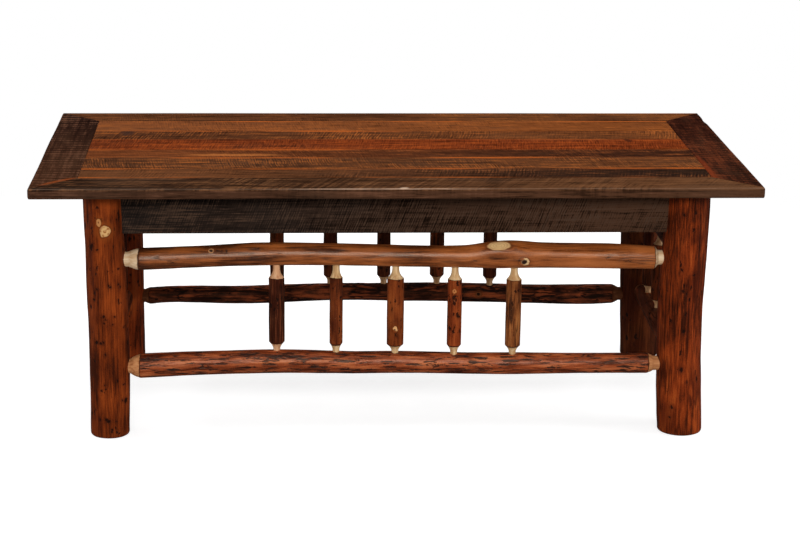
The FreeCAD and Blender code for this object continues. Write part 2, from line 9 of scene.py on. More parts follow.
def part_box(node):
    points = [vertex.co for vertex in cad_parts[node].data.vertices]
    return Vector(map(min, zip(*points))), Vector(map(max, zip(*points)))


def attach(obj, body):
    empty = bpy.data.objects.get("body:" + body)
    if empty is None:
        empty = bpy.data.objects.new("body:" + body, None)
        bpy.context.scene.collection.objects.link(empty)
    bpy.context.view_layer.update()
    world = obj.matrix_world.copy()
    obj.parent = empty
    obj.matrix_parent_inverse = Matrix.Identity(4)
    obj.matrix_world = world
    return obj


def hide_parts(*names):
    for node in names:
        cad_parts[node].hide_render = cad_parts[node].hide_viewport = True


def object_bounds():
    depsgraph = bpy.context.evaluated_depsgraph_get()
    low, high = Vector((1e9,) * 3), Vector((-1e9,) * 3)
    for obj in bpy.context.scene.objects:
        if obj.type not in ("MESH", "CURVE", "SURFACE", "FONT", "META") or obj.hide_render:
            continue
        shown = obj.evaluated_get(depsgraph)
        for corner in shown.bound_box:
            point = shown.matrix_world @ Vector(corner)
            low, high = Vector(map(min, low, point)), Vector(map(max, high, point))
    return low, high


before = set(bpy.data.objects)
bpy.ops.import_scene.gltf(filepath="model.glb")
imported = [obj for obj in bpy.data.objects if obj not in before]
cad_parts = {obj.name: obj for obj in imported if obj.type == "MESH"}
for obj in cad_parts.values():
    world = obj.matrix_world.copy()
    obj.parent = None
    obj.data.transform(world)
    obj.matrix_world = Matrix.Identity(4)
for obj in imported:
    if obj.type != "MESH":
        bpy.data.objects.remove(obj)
cadBox = [[float(number) for number in corner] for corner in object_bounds()]
print("frame loaded:", len(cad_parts), "nodes")


# Camera, floor and light: a low studio view on white, a little left of the middle of the table
camera = {
    "place": (-0.1937, -3.7704, 1.3038),
    "turnToRight": 0.0564,
    "pitchDown": 0.2753,
    "roll": 0.0117,
    "lens": 97.7,
    "sensor": 36.0,
    "clipEnd": 60.0,
}
lamps = {
    "frontBox": {"place": (-0.15, -3.3, 1.6), "size": (2.2, 0.5), "power": 64.0},
    "topBox": {"place": (0.1, -0.5, 2.7), "size": (2.6, 1.8), "power": 25.0},
    "rightStrip": {"place": (3.0, -0.6, 1.3), "size": (1.6, 2.0), "power": 42.0},
    "backBox": {"place": (0.2, 2.7, 2.3), "size": (2.6, 1.4), "power": 58.0, "mirrored": False},
    "leftStrip": {"place": (-3.2, 0.4, 1.3), "size": (1.6, 2.0), "power": 42.0},
}
studio = {
    "ambient": 0.3, "shine": 0.03, "aimHeight": 0.3,
    "floorColour": 0.5, "floorLift": 0.7, "floorReach": 1.25, "floorFade": 0.5, "floorSize": 24.0,
}


def paint(red, green, blue):  # a colour as seen on screen, 0 to 255, turned into light values
    values = []
    for part in (red, green, blue):
        share = part / 255
        values.append(share / 12.92 if share <= 0.04045 else ((share + 0.055) / 1.055) ** 2.4)
    return (*values, 1)


def shaded(colour, share):  # the same colour with a share of its light
    return (*(min(1.0, value * share) for value in colour[:3]), 1)


def altered(base, **changes):  # a copy of a look with changes, in which three numbers are a colour to paint
    for key, value in changes.items():
        if isinstance(value, tuple) and len(value) == 3:
            changes[key] = paint(*value)
    return {**base, **changes}


class Sock:  # a node's output that can be used in sums
    def __init__(self, finish, socket):
        self.finish = finish
        self.socket = socket

    def __add__(self, other):
        return self.finish.math("ADD", self, other)

    def __radd__(self, other):
        return self.finish.math("ADD", other, self)

    def __sub__(self, other):
        return self.finish.math("SUBTRACT", self, other)

    def __rsub__(self, other):
        return self.finish.math("SUBTRACT", other, self)

    def __mul__(self, other):
        return self.finish.math("MULTIPLY", self, other)

    def __rmul__(self, other):
        return self.finish.math("MULTIPLY", other, self)


class Finish:  # one material, grown node by node
    def __init__(self, name, tree=None):
        if tree is None:
            self.material = bpy.data.materials.new(name)
            self.material.use_nodes = True
        self.tree = tree or self.material.node_tree
        self.tree.nodes.clear()

    def add(self, kind, settings=None, sockets=None, out=0):
        node = self.tree.nodes.new(kind)
        for key, value in (settings or {}).items():
            if key == "stops":
                points = node.color_ramp.elements
                while len(points) < len(value):
                    points.new(0.5)
                for point, (position, colour) in zip(points, value):
                    point.position = position
                    point.color = colour
            else:
                setattr(node, key, value)
        for key, value in (sockets or {}).items():
            if isinstance(value, Sock):
                self.tree.links.new(value.socket, node.inputs[key])
            else:
                node.inputs[key].default_value = value
        if isinstance(out, tuple):
            return [Sock(self, node.outputs[number]) for number in out]
        return Sock(self, node.outputs[out]) if node.outputs else node

    def math(self, operation, *values):
        return self.add("ShaderNodeMath", {"operation": operation}, dict(enumerate(values)))

    def vectorMath(self, operation, *values, out=0):
        return self.add("ShaderNodeVectorMath", {"operation": operation}, dict(enumerate(values)), out)

    def place(self):  # where a point lies, in metres
        return self.add("ShaderNodeTexCoord", out=3)

    def part(self, vector, index):  # one coordinate of a vector
        return self.add("ShaderNodeSeparateXYZ", {}, {0: vector}, out=index)

    def scaled(self, vector, scale):
        return self.vectorMath("MULTIPLY", vector, tuple(scale))

    def drawn(self, vector, axis, share):  # a place, squeezed along one axis so that patterns stretch that way
        return self.scaled(vector, [share if name == axis else 1.0 for name in "xyz"])

    def noise(self, vector, scale, detail=3.0, roughness=0.55, distortion=0.0):
        return self.add("ShaderNodeTexNoise", {}, {
            "Vector": vector, "Scale": scale, "Detail": detail, "Roughness": roughness, "Distortion": distortion})

    def band(self, value, start, end):  # 0 below start, 1 above end, smooth between
        return self.add("ShaderNodeMapRange", {"interpolation_type": "SMOOTHSTEP"}, {
            0: value, 1: start, 2: end, 3: 0.0, 4: 1.0})

    def mix(self, factor, first, second, blend="MIX"):
        return self.add("ShaderNodeMix", {"data_type": "RGBA", "blend_type": blend, "clamp_factor": True},
                        {0: factor, 6: first, 7: second}, out=2)

    def ramp(self, value, stops):
        return self.add("ShaderNodeValToRGB", {"stops": stops}, {0: value})

    def gap(self, value, middle):  # how far a value is from another, either way
        return self.math("ABSOLUTE", value - middle)

    def joined(self, x, y, z):
        return self.add("ShaderNodeCombineXYZ", {}, {0: x, 1: y, 2: z})

    def shaken(self, vector, scale, amount):  # a place, jostled so that round shapes come out ragged
        push = self.add("ShaderNodeTexNoise", {}, {"Vector": vector, "Scale": scale, "Detail": 2.0}, out=1)
        return self.vectorMath("SUBTRACT", self.vectorMath("MULTIPLY_ADD", push, (amount,) * 3, vector),
                              (amount / 2,) * 3)

    def reach(self, vector, centre, axis, length, width):  # 1 at the edge of an oval of that length and width
        scale = [1 / (length if name == axis else width) for name in "xyz"]
        return self.distance(self.scaled(vector, scale), tuple(a * b for a, b in zip(centre, scale)))

    def attribute(self, name):
        return self.add("ShaderNodeAttribute", {"attribute_name": name}, out=2)

    def distance(self, first, second):
        return self.vectorMath("DISTANCE", first, second, out=1)

    def finishWith(self, colour, roughness, height, look):
        normal = self.add("ShaderNodeBump", {}, {"Strength": 1.0, "Distance": look["relief"], "Height": height})
        shader = self.add("ShaderNodeBsdfPrincipled", {}, {
            "Base Color": colour, "Roughness": roughness, "Normal": normal, "Metallic": look.get("metal", 0.0),
            "Specular IOR Level": look["shine"], "Specular Tint": look["shineTint"]})
        self.add("ShaderNodeOutputMaterial", {}, {0: shader})
        return self.material


# The directions of angle 0 and angle 90 round a log, by the axis that it lies along
sections = {
    "x": (Vector((0, -1, 0)), Vector((0, 0, 1))),  # from the front, over the top
    "y": (Vector((1, 0, 0)), Vector((0, 0, 1))),  # from the right, over the top
    "z": (Vector((0, -1, 0)), Vector((1, 0, 0))),  # from the front, round to the right
}
axes = {"x": Vector((1, 0, 0)), "y": Vector((0, 1, 0)), "z": Vector((0, 0, 1))}


def addPiece(bm, name, nodeName, material, sharpAngle=40.0):
    bm.normal_update()  # fresh normals first, so that the next line turns every face outward
    bmesh.ops.recalc_face_normals(bm, faces=bm.faces)
    mesh = bpy.data.meshes.new(name)
    bm.to_mesh(mesh)
    bm.free()
    mesh.shade_smooth()
    mesh.set_sharp_from_angle(angle=math.radians(sharpAngle))
    mesh.materials.append(material)
    piece = bpy.data.objects.new(name, mesh)
    bpy.context.scene.collection.objects.link(piece)
    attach(piece, "root")
    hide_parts(nodeName)


def spread(start, end, step):  # even places from start up to, but without, end
    count = max(1, round((end - start) / step))
    return [start + (end - start) * number / count for number in range(count)]


def circleThrough(points):  # centre and radius of the circle through three flat points
    (ax, ay), (bx, by), (cx, cy) = points
    turn = 2 * (ax * (by - cy) + bx * (cy - ay) + cx * (ay - by))
    a, b, c = ax * ax + ay * ay, bx * bx + by * by, cx * cx + cy * cy
    x = (a * (by - cy) + b * (cy - ay) + c * (ay - by)) / turn
    y = (a * (cx - bx) + b * (ax - cx) + c * (bx - ax)) / turn
    return x, y, math.hypot(ax - x, ay - y)


def between(stations, place):  # height and radius between stations, smoothly
    place = min(max(place, stations[0][0]), stations[-1][0])
    for number in range(len(stations) - 1):
        start, end = stations[number], stations[number + 1]
        if place <= end[0]:
            break
    before, after = stations[max(0, number - 1)], stations[min(len(stations) - 1, number + 2)]
    share = (place - start[0]) / (end[0] - start[0])
    values = []
    for index in (1, 2):
        slopeIn = (end[index] - before[index]) / (end[0] - before[0]) * (end[0] - start[0])
        slopeOut = (after[index] - start[index]) / (after[0] - start[0]) * (end[0] - start[0])
        values.append((2 * share ** 3 - 3 * share ** 2 + 1) * start[index]
                      + (share ** 3 - 2 * share ** 2 + share) * slopeIn
                      + (3 * share ** 2 - 2 * share ** 3) * end[index] + (share ** 3 - share ** 2) * slopeOut)
    return values


# How the CAD logs are measured, in metres: from edge inwards, in steps, until the radius has risen
probe = {"start": 0.08, "edge": 0.0005, "step": 0.0008, "count": 120, "leastRise": 0.00008, "tenon": 0.002}


class CadLog:  # the round solid of a node, measured with rays from outside it
    def __init__(self, nodeName, axis, angles):
        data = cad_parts[nodeName].data
        corners = [vertex.co for vertex in data.vertices]
        self.tree = BVHTree.FromPolygons(corners, [face.vertices for face in data.polygons])
        self.axis = axes[axis]
        self.side, self.up = sections[axis]
        low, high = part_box(nodeName)
        self.low = low.dot(self.axis)
        self.high = high.dot(self.axis)
        middle = (low + high) / 2
        self.middle = middle - self.axis * middle.dot(self.axis)
        self.angles = [math.radians(angle) for angle in angles]

    def way(self, angle):
        return self.side * math.cos(angle) + self.up * math.sin(angle)

    def point(self, place, ring, angle, radius):
        return self.axis * place + self.side * ring[0] + self.up * ring[1] + self.way(angle) * radius

    def ring(self, place):  # the log's middle and radius at a place
        hits = []
        for angle in self.angles:
            way = self.way(angle)
            hit = self.tree.ray_cast(self.middle + self.axis * place + way * probe["start"], -way)[0]
            hits.append((hit.dot(self.side), hit.dot(self.up)))
        return circleThrough(hits)

    def shoulders(self):
        # At each end: where the tenon starts to widen, where the bark starts, and the circles there
        cutEnds = []
        for start, sign in ((self.low, 1), (self.high, -1)):
            places = [start + sign * (probe["edge"] + number * probe["step"]) for number in range(probe["count"])]
            radii = [self.ring(place)[2] for place in places]
            rising = [number for number in range(probe["count"] - 1)
                      if radii[number + 1] - radii[number] > probe["leastRise"]]
            first, last = rising[0], rising[-1] + 1
            tenonX, tenonY, tenonRadius = self.ring(start + sign * probe["tenon"])
            cutEnds.append((places[first], places[last], sign, tenonX, tenonY, tenonRadius, radii[last]))
        return cutEnds


def knotShape(knots, place, angle, radius):  # how far knots lift the bark there, and how flat they cut it
    lift = 0.0
    flat = None
    for knot in knots:
        turn = (angle - math.radians(knot["angle"]) + math.pi) % (2 * math.pi) - math.pi
        along = (place - knot["place"]) / knot["length"]
        across = radius * turn / knot["width"]
        reach = math.hypot(along, across)
        if reach < 4:
            lift += knot["rise"] * math.exp(-(reach / 1.5) ** 2)
        if knot["face"] and abs(turn) < 1.2 and reach < 2.2:
            level = (radius + knot["face"]) / math.cos(turn)
            flat = level if flat is None else min(flat, level)
    return lift, flat


# Distances between the rings of a log, and how far the fine ones and the evening out reach
ringSteps = {"foot": 0.0008, "tenon": 0.01, "shoulder": 0.0011, "bark": 0.0026, "reach": 0.006}
# Large and small lumps: how closely they stand round the log and along it, and the small ones' share
lumps = {"round": 1.3, "along": 11.7, "smallRound": 3.0, "smallAlong": 34.0, "small": 0.45}


def growLog(nodeName, spec):
    # A log over its CAD solid: bark with lumps and knots, cut down to round tenons where it has them
    log = CadLog(nodeName, spec["axis"], spec["rayAngles"])
    low, high = log.low, log.high
    steps = {**ringSteps, **spec.get("steps", {})}
    reach, edge, rounding = steps["reach"], probe["edge"], spec.get("footRounding", 0.0)
    cutEnds = log.shoulders() if spec.get("tenon") else []
    if cutEnds:
        (widens, barkLow), (narrows, barkHigh) = cutEnds[0][:2], cutEnds[1][:2]
        places = spread(low, widens, steps["tenon"]) + spread(widens, barkLow + reach, steps["shoulder"])
        places += spread(barkLow + reach, barkHigh - reach, steps["bark"])
        places += spread(barkHigh - reach, narrows, steps["shoulder"])
        places += spread(narrows, high, steps["tenon"]) + [high]
    else:
        barkLow, barkHigh = low + rounding * 1.6, high - edge
        places = spread(low, barkLow, steps["foot"]) + spread(barkLow, high, steps["bark"]) + [high]

    # Measured middle line and radius of the bark, evened out over a centimetre
    measured = [log.ring(min(max(place, barkLow + edge), barkHigh - edge)) for place in places]
    rings = []
    for place in places:
        near = [m for m, other in zip(measured, places) if abs(other - place) < reach]
        rings.append([sum(m[index] for m in near) / len(near) for index in range(3)])
    if spec.get("stations"):
        for ring, place in zip(rings, places):
            ring[1], ring[2] = between(spec["stations"], place)

    bm = bmesh.new()
    around = spec["around"]
    bmesh.ops.create_cone(bm, cap_ends=True, cap_tris=False, segments=around, radius1=1, radius2=1, depth=1)
    longEdges = [item for item in bm.edges if abs(item.verts[0].co.z - item.verts[1].co.z) > 0.5]
    bmesh.ops.subdivide_edges(bm, edges=longEdges, cuts=len(places) - 2, use_grid_fill=True)
    depthLayer = bm.verts.layers.float.new("cutDepth")
    bareLayer = bm.verts.layers.float.new("bareDepth")
    seed = Vector((len(nodeName) * 3.7, sum(map(ord, nodeName)) * 0.13, 1.9))
    knots = spec.get("knots", ())
    for vertex in bm.verts:
        number = round((vertex.co.z + 0.5) * (len(places) - 1))
        angle = math.atan2(vertex.co.y, vertex.co.x)
        place = places[number]
        x, y, radius = rings[number]
        roll = Vector((math.cos(angle), math.sin(angle), 0.0))
        rise = Vector((0.0, 0.0, place))
        lump = noise.noise(roll * lumps["round"] + rise * lumps["along"] + seed)
        lump += lumps["small"] * noise.noise(roll * lumps["smallRound"] + rise * lumps["smallAlong"] + seed)
        lump *= spec["lump"]
        lift, flat = knotShape(knots, place, angle, radius)
        bark = radius + lump + lift
        if flat is not None:
            bark = min(bark, flat)
        size = bark
        thick = 0.0
        if place < low + rounding:  # the foot's rim is rounded
            size -= rounding - math.sqrt(max(0.0, rounding ** 2 - (rounding - place + low) ** 2))
        for first, last, sign, tenonX, tenonY, tenonRadius, shoulder in cutEnds:
            past = (place - first) / (last - first)  # 0 where the tenon widens, 1 where the bark starts
            if past > 2.5:
                continue
            if past <= 0:
                cut = tenonRadius
            elif past < 1:
                curve = spec["flare"][0 if sign > 0 else 1]
                share = past ** curve if curve > 1 else 1 - (1 - past) ** (1 / curve)
                cut = tenonRadius + (shoulder - tenonRadius) * share
            else:
                cut = shoulder + (shoulder - tenonRadius) * (past - 1) * 0.9
            offset = Vector((x - tenonX, y - tenonY))
            along = offset.x * math.cos(angle) + offset.y * math.sin(angle)
            inside = along * along - offset.length_squared + cut * cut
            size = min(size, -along + math.sqrt(max(inside, 1e-8)))
            thick = spec["barkThick"][0 if sign > 0 else 1]
        vertex.co = log.point(place, rings[number], angle, size)
        vertex[depthLayer] = (bark - size) * 1000
        vertex[bareLayer] = (bark - size) * 1000 - thick

    def onBark(place, degrees, lift=0.0):
        ring = rings[min(range(len(places)), key=lambda number: abs(places[number] - place))]
        return log.point(place, ring, math.radians(degrees), ring[2] + lift)

    knotPlaces = [{**knot, "centre": onBark(knot["place"], knot["angle"], knot["rise"] * 0.7)} for knot in knots]
    markPlaces = [(onBark(place, degrees), length, width)
                  for place, degrees, length, width in spec.get("marks", ())]
    addPiece(bm, nodeName + "_log", nodeName, barkFinish(nodeName, spec, knotPlaces, markPlaces))


def knotPaint(finish, place, axis, colour, knot):
    # One cut knot: pale wood with veins, sometimes a dark heart, in a halo of darker bark
    ragged = finish.shaken(place, knot["raggedScale"], knot["ragged"])
    reach = finish.reach(ragged, knot["centre"], axis, knot["length"], knot["width"])
    inside = 1 - finish.band(reach, 0.86, 1.02)
    veins = finish.noise(ragged, knot["veinScale"], detail=3.0)
    ring = finish.math("SINE", reach * knot["rings"])
    face = finish.mix(finish.band(veins + ring * knot["ringDepth"], 0.48, 0.66) * knot["vein"],
                      knot["pale"], knot["veinColour"])
    # the pale face darkens towards its edge: painted shade that rounds the knot
    face = finish.mix(finish.band(reach, 0.45, 1.0) * 0.35, face, knot["veinColour"])
    heart = 1 - finish.band(reach, knot["heart"] * 0.6, knot["heart"] + 0.08)
    face = finish.mix(heart, face, knot["heartColour"])
    halo = 1 - finish.band(reach, 1.0, 2.3)
    colour = finish.mix(halo * knot["halo"], colour, knot["haloColour"])
    rim = finish.band(reach, 0.88, 1.02) * (1 - finish.band(reach, 1.04, 1.3))
    colour = finish.mix(rim * knot["rim"], colour, paint(52, 22, 10))
    if knot["gap"]:  # a worn knot: only a curl of pale wood is left
        way = finish.vectorMath("SUBTRACT", ragged, tuple(knot["centre"]))
        side = finish.vectorMath("DOT_PRODUCT", way, knot["gap"], out=1)
        inside = inside * (1 - (1 - finish.band(side, -0.002, 0.001)) * (1 - heart))
    return finish.mix(inside, colour, face), inside


def barkFinish(nodeName, spec, knots, marks):
    look = spec["look"]
    finish = Finish(nodeName + "_bark")
    place = finish.place()

    def drawn(share, vector=place):
        return finish.drawn(vector, spec["axis"], share)

    fibre = finish.noise(drawn(0.045), 400.0, detail=4.0, roughness=0.65)
    streak = finish.noise(drawn(0.1), look["streakScale"], detail=3.0, distortion=0.5)
    broad = finish.noise(drawn(0.4), look["patchScale"], detail=3.0)
    grit = finish.noise(place, 800.0, detail=2.0)
    # climb lightens or darkens the bark along the log; on the front upper rail this is painted light
    tone = 0.5 + (fibre - 0.5) * look["fibre"] + (streak - 0.5) * look["streak"] \
        + (broad - 0.5) * look["patch"] + (grit - 0.5) * look["grit"] \
        + finish.part(place, "xyz".index(spec["axis"])) * look["climb"]
    colour = finish.ramp(tone, [(0.2, look["dark"]), (0.5, look["mid"]), (0.8, look["light"])])

    ridge = finish.noise(drawn(look["furrowStretch"]), look["furrowScale"], detail=2.5, roughness=0.55,
                         distortion=look["furrowWarp"])
    furrow = 1 - finish.band(finish.gap(ridge, 0.5), look["furrowWidth"] * 0.35, look["furrowWidth"])
    broken = finish.band(finish.noise(drawn(look["breakStretch"]), look["breakScale"], detail=2.0),
                         look["breakLevel"], look["breakLevel"] + 0.08)
    furrow = furrow * broken
    colour = finish.mix(furrow * look["furrow"], colour, look["furrowColour"])

    blush = finish.band(finish.noise(drawn(0.5), look["blushScale"], detail=2.0, distortion=0.4), 0.5, 0.64)
    colour = finish.mix(blush * look["blush"], colour, look["blushColour"])

    ragged = finish.shaken(place, 240.0, look["ragged"])
    near, pick = finish.add("ShaderNodeTexVoronoi", {"feature": "F1"},
                            {"Vector": drawn(look["fleckStretch"], ragged), "Scale": look["fleckScale"]},
                            out=(0, 1))
    size = finish.part(pick, 0) * look["fleckSize"] + 0.1
    herd = finish.band(finish.noise(drawn(1.4), look["herdScale"], detail=1.0), look["herdLevel"],
                       look["herdLevel"] + 0.07)
    fleck = (1 - finish.band(near, size * 0.7, size + 0.02)) * herd
    colour = finish.mix(fleck * look["fleck"], colour, look["fleckColour"])

    height = fibre * 0.4 + streak * 0.3 + grit * 0.1 - furrow * look["furrow"] * 0.45 - fleck * 0.3
    rough = look["rough"] + (streak - 0.5) * 0.3 + furrow * 0.12 + fleck * 0.1
    for knot in knots:
        colour, inside = knotPaint(finish, place, spec["axis"], colour, knot)
        rough = rough + inside * 0.12
        height = height * (1 - inside * 0.8)
    if spec.get("tenon"):
        burr = (finish.noise(place, 420.0, detail=2.0) - 0.5) * 0.7
        section = finish.band(finish.attribute("cutDepth") + burr, 0.12, 0.3)
        wood = finish.band(finish.attribute("bareDepth") + burr, 0.1, 0.45)
        grain = finish.noise(drawn(0.06), 260.0, detail=4.0, roughness=0.6)
        cream = finish.ramp(grain, [(0.3, look["peeledDark"]), (0.52, look["peeled"]),
                                    (0.72, look["peeledLight"])])
        stain = finish.band(finish.noise(drawn(0.25), 70.0, detail=2.0), 0.56, 0.7)
        cream = finish.mix(stain * 0.6, cream, look["peeledDark"])
        colour = finish.mix(section, colour, look["section"])
        colour = finish.mix(wood, colour, cream)
        rough = rough + wood * 0.14
        height = height * (1 - section * 0.8)
    dark = 0.0
    for centre, length, width in marks:  # single dark marks, seen in the photograph, each in a faint smudge
        spot = finish.reach(ragged, centre, spec["axis"], length, width)
        shade = 1 - finish.band(spot, 0.65, 1.05) * 0.7 - finish.band(spot, 1.0, 2.6) * 0.3
        dark = finish.math("MAXIMUM", dark, shade)
    if marks:
        colour = finish.mix(dark * 0.92, colour, look["fleckColour"])
        height = height - dark * 0.3
    return finish.finishWith(colour, rough, height, look)


# The bark and the cut knots. Each piece below starts from one of these and changes what differs.
# Its climb is how much lighter the bark gets per metre along the log; on the front upper rail it is painted
# light, brightening the end that the lamps light less.
barkLook = altered({},
    dark=(58, 21, 9), mid=(110, 47, 19), light=(140, 66, 29), fibre=0.9, streakScale=110.0, streak=0.9,
    patchScale=26.0, patch=0.9, grit=0.5, climb=0.0, furrowScale=170.0, furrowStretch=0.05, furrowWarp=0.4,
    furrowWidth=0.035, furrow=0.5, furrowColour=(38, 17, 10), breakScale=30.0, breakStretch=0.4, breakLevel=0.46,
    fleckScale=130.0, fleckStretch=0.45, fleckSize=0.34, herdScale=30.0, herdLevel=0.5, ragged=0.006, fleck=0.9,
    fleckColour=(20, 11, 9), blushScale=20.0, blush=0.5, blushColour=(58, 18, 8), rough=0.45, relief=0.0011,
    shine=0.08, shineTint=(1.0, 0.6, 0.4, 1.0), peeled=(210, 172, 124), peeledDark=(172, 124, 80),
    peeledLight=(228, 198, 156), section=(72, 34, 18))
paleKnot = altered({},
    pale=(222, 184, 130), veinColour=(180, 118, 62), heart=0.0, heartColour=(96, 50, 22),
    haloColour=(132, 62, 22), rise=0.0012, face=0.0, ragged=0.0045, raggedScale=150.0, vein=0.55, veinScale=330.0,
    rings=13.0, ringDepth=0.06, halo=0.35, rim=0.45, gap=None)
legs = {
    "front_left_leg": {
        "rayAngles": (330, 270, 30),
        "look": altered(barkLook,
            dark=(54, 20, 8), mid=(106, 42, 13), light=(142, 62, 21), furrow=0.45, furrowScale=210.0,
            furrowStretch=0.03, furrowWarp=0.1, breakLevel=0.52, fibre=1.2, patch=1.2, herdLevel=0.54),
        "knots": (
            altered(paleKnot,
                place=0.3695, angle=7.0, length=0.0102, width=0.01, rise=0.0022, face=0.0012, ragged=0.0065,
                raggedScale=110.0, vein=1.0, veinScale=200.0, rings=11.0, halo=0.8, pale=(214, 170, 112),
                veinColour=(158, 96, 48)),
            altered(paleKnot,
                place=0.384, angle=-9.0, length=0.0075, width=0.0044, heart=0.3, rise=0.001, face=0.0004,
                pale=(190, 130, 78), halo=0.6),
        ),
        # place, angle, length and width of each dark mark
        "marks": (
            (0.3395, -37, 0.0065, 0.003), (0.345, -33, 0.0036, 0.0018), (0.337, -17, 0.0026, 0.002),
            (0.372, -32, 0.009, 0.0014), (0.388, -48, 0.012, 0.0016), (0.394, 55, 0.012, 0.0028),
            (0.386, 46, 0.004, 0.0015), (0.333, 72, 0.004, 0.0022), (0.341, 30, 0.005, 0.0011),
            (0.276, 10, 0.0028, 0.0018), (0.2755, 40, 0.0028, 0.0022), (0.272, 14, 0.0022, 0.003),
            (0.271, 47, 0.0036, 0.002), (0.268, -24, 0.0026, 0.002), (0.2615, -33, 0.004, 0.0017),
            (0.249, -36, 0.003, 0.002), (0.2205, -8, 0.0028, 0.0026), (0.2155, -2, 0.0026, 0.0016),
            (0.2195, 25, 0.0018, 0.0018), (0.206, 16, 0.0018, 0.0015), (0.1735, -33, 0.003, 0.0038),
            (0.1745, -12, 0.0034, 0.0018), (0.1725, -20, 0.003, 0.003), (0.153, -7, 0.0028, 0.0024),
            (0.139, -45, 0.002, 0.0015), (0.0985, -12, 0.0022, 0.0016), (0.0965, 47, 0.0018, 0.0022),
            (0.067, 43, 0.003, 0.0018), (0.066, 60, 0.0042, 0.0024), (0.035, -27, 0.003, 0.0016),
            (0.0355, -8, 0.0034, 0.0026), (0.0325, -2, 0.0034, 0.0044), (0.031, 22, 0.002, 0.0014),
        ),
    },
    "front_right_leg": {
        "rayAngles": (30, 90, 330),
        "look": altered(barkLook,
            dark=(56, 20, 8), mid=(132, 51, 17), light=(168, 78, 30), fibre=1.2, streak=0.6, climb=-0.35,
            furrowScale=260.0, furrowStretch=0.035, furrowWarp=0.1, furrowWidth=0.07, furrow=0.62,
            furrowColour=(32, 14, 8), breakLevel=0.42, fleckStretch=0.3, fleckSize=0.24, relief=0.0016),
        "marks": (
            (0.262, -6, 0.005, 0.003), (0.258, 4, 0.004, 0.0018), (0.29, 20, 0.003, 0.0022),
            (0.3, -14, 0.0034, 0.002), (0.247, 12, 0.004, 0.002), (0.19, 2, 0.004, 0.003),
            (0.121, -3, 0.0055, 0.0034), (0.098, 12, 0.004, 0.0016), (0.052, -28, 0.004, 0.003),
            (0.033, -34, 0.003, 0.0024), (0.37, 8, 0.004, 0.003), (0.395, -20, 0.003, 0.0024),
        ),
    },
    "back_left_leg": {
        "rayAngles": (210, 270, 150),
        "look": altered(barkLook,
            dark=(56, 20, 8), mid=(124, 47, 16), light=(152, 68, 27), streak=1.2, furrow=0.6, blush=0.35),
    },
    "back_right_leg": {
        "rayAngles": (150, 90, 210),
        "look": altered(barkLook, dark=(36, 15, 7), mid=(64, 27, 11), light=(90, 42, 18), streak=1.3),
    },
}
for nodeName, spec in legs.items():
    spec.update({"axis": "z", "around": 84, "steps": {"bark": 0.003}, "lump": 0.0009, "footRounding": 0.004})
    growLog(nodeName, spec)
print("legs grown")

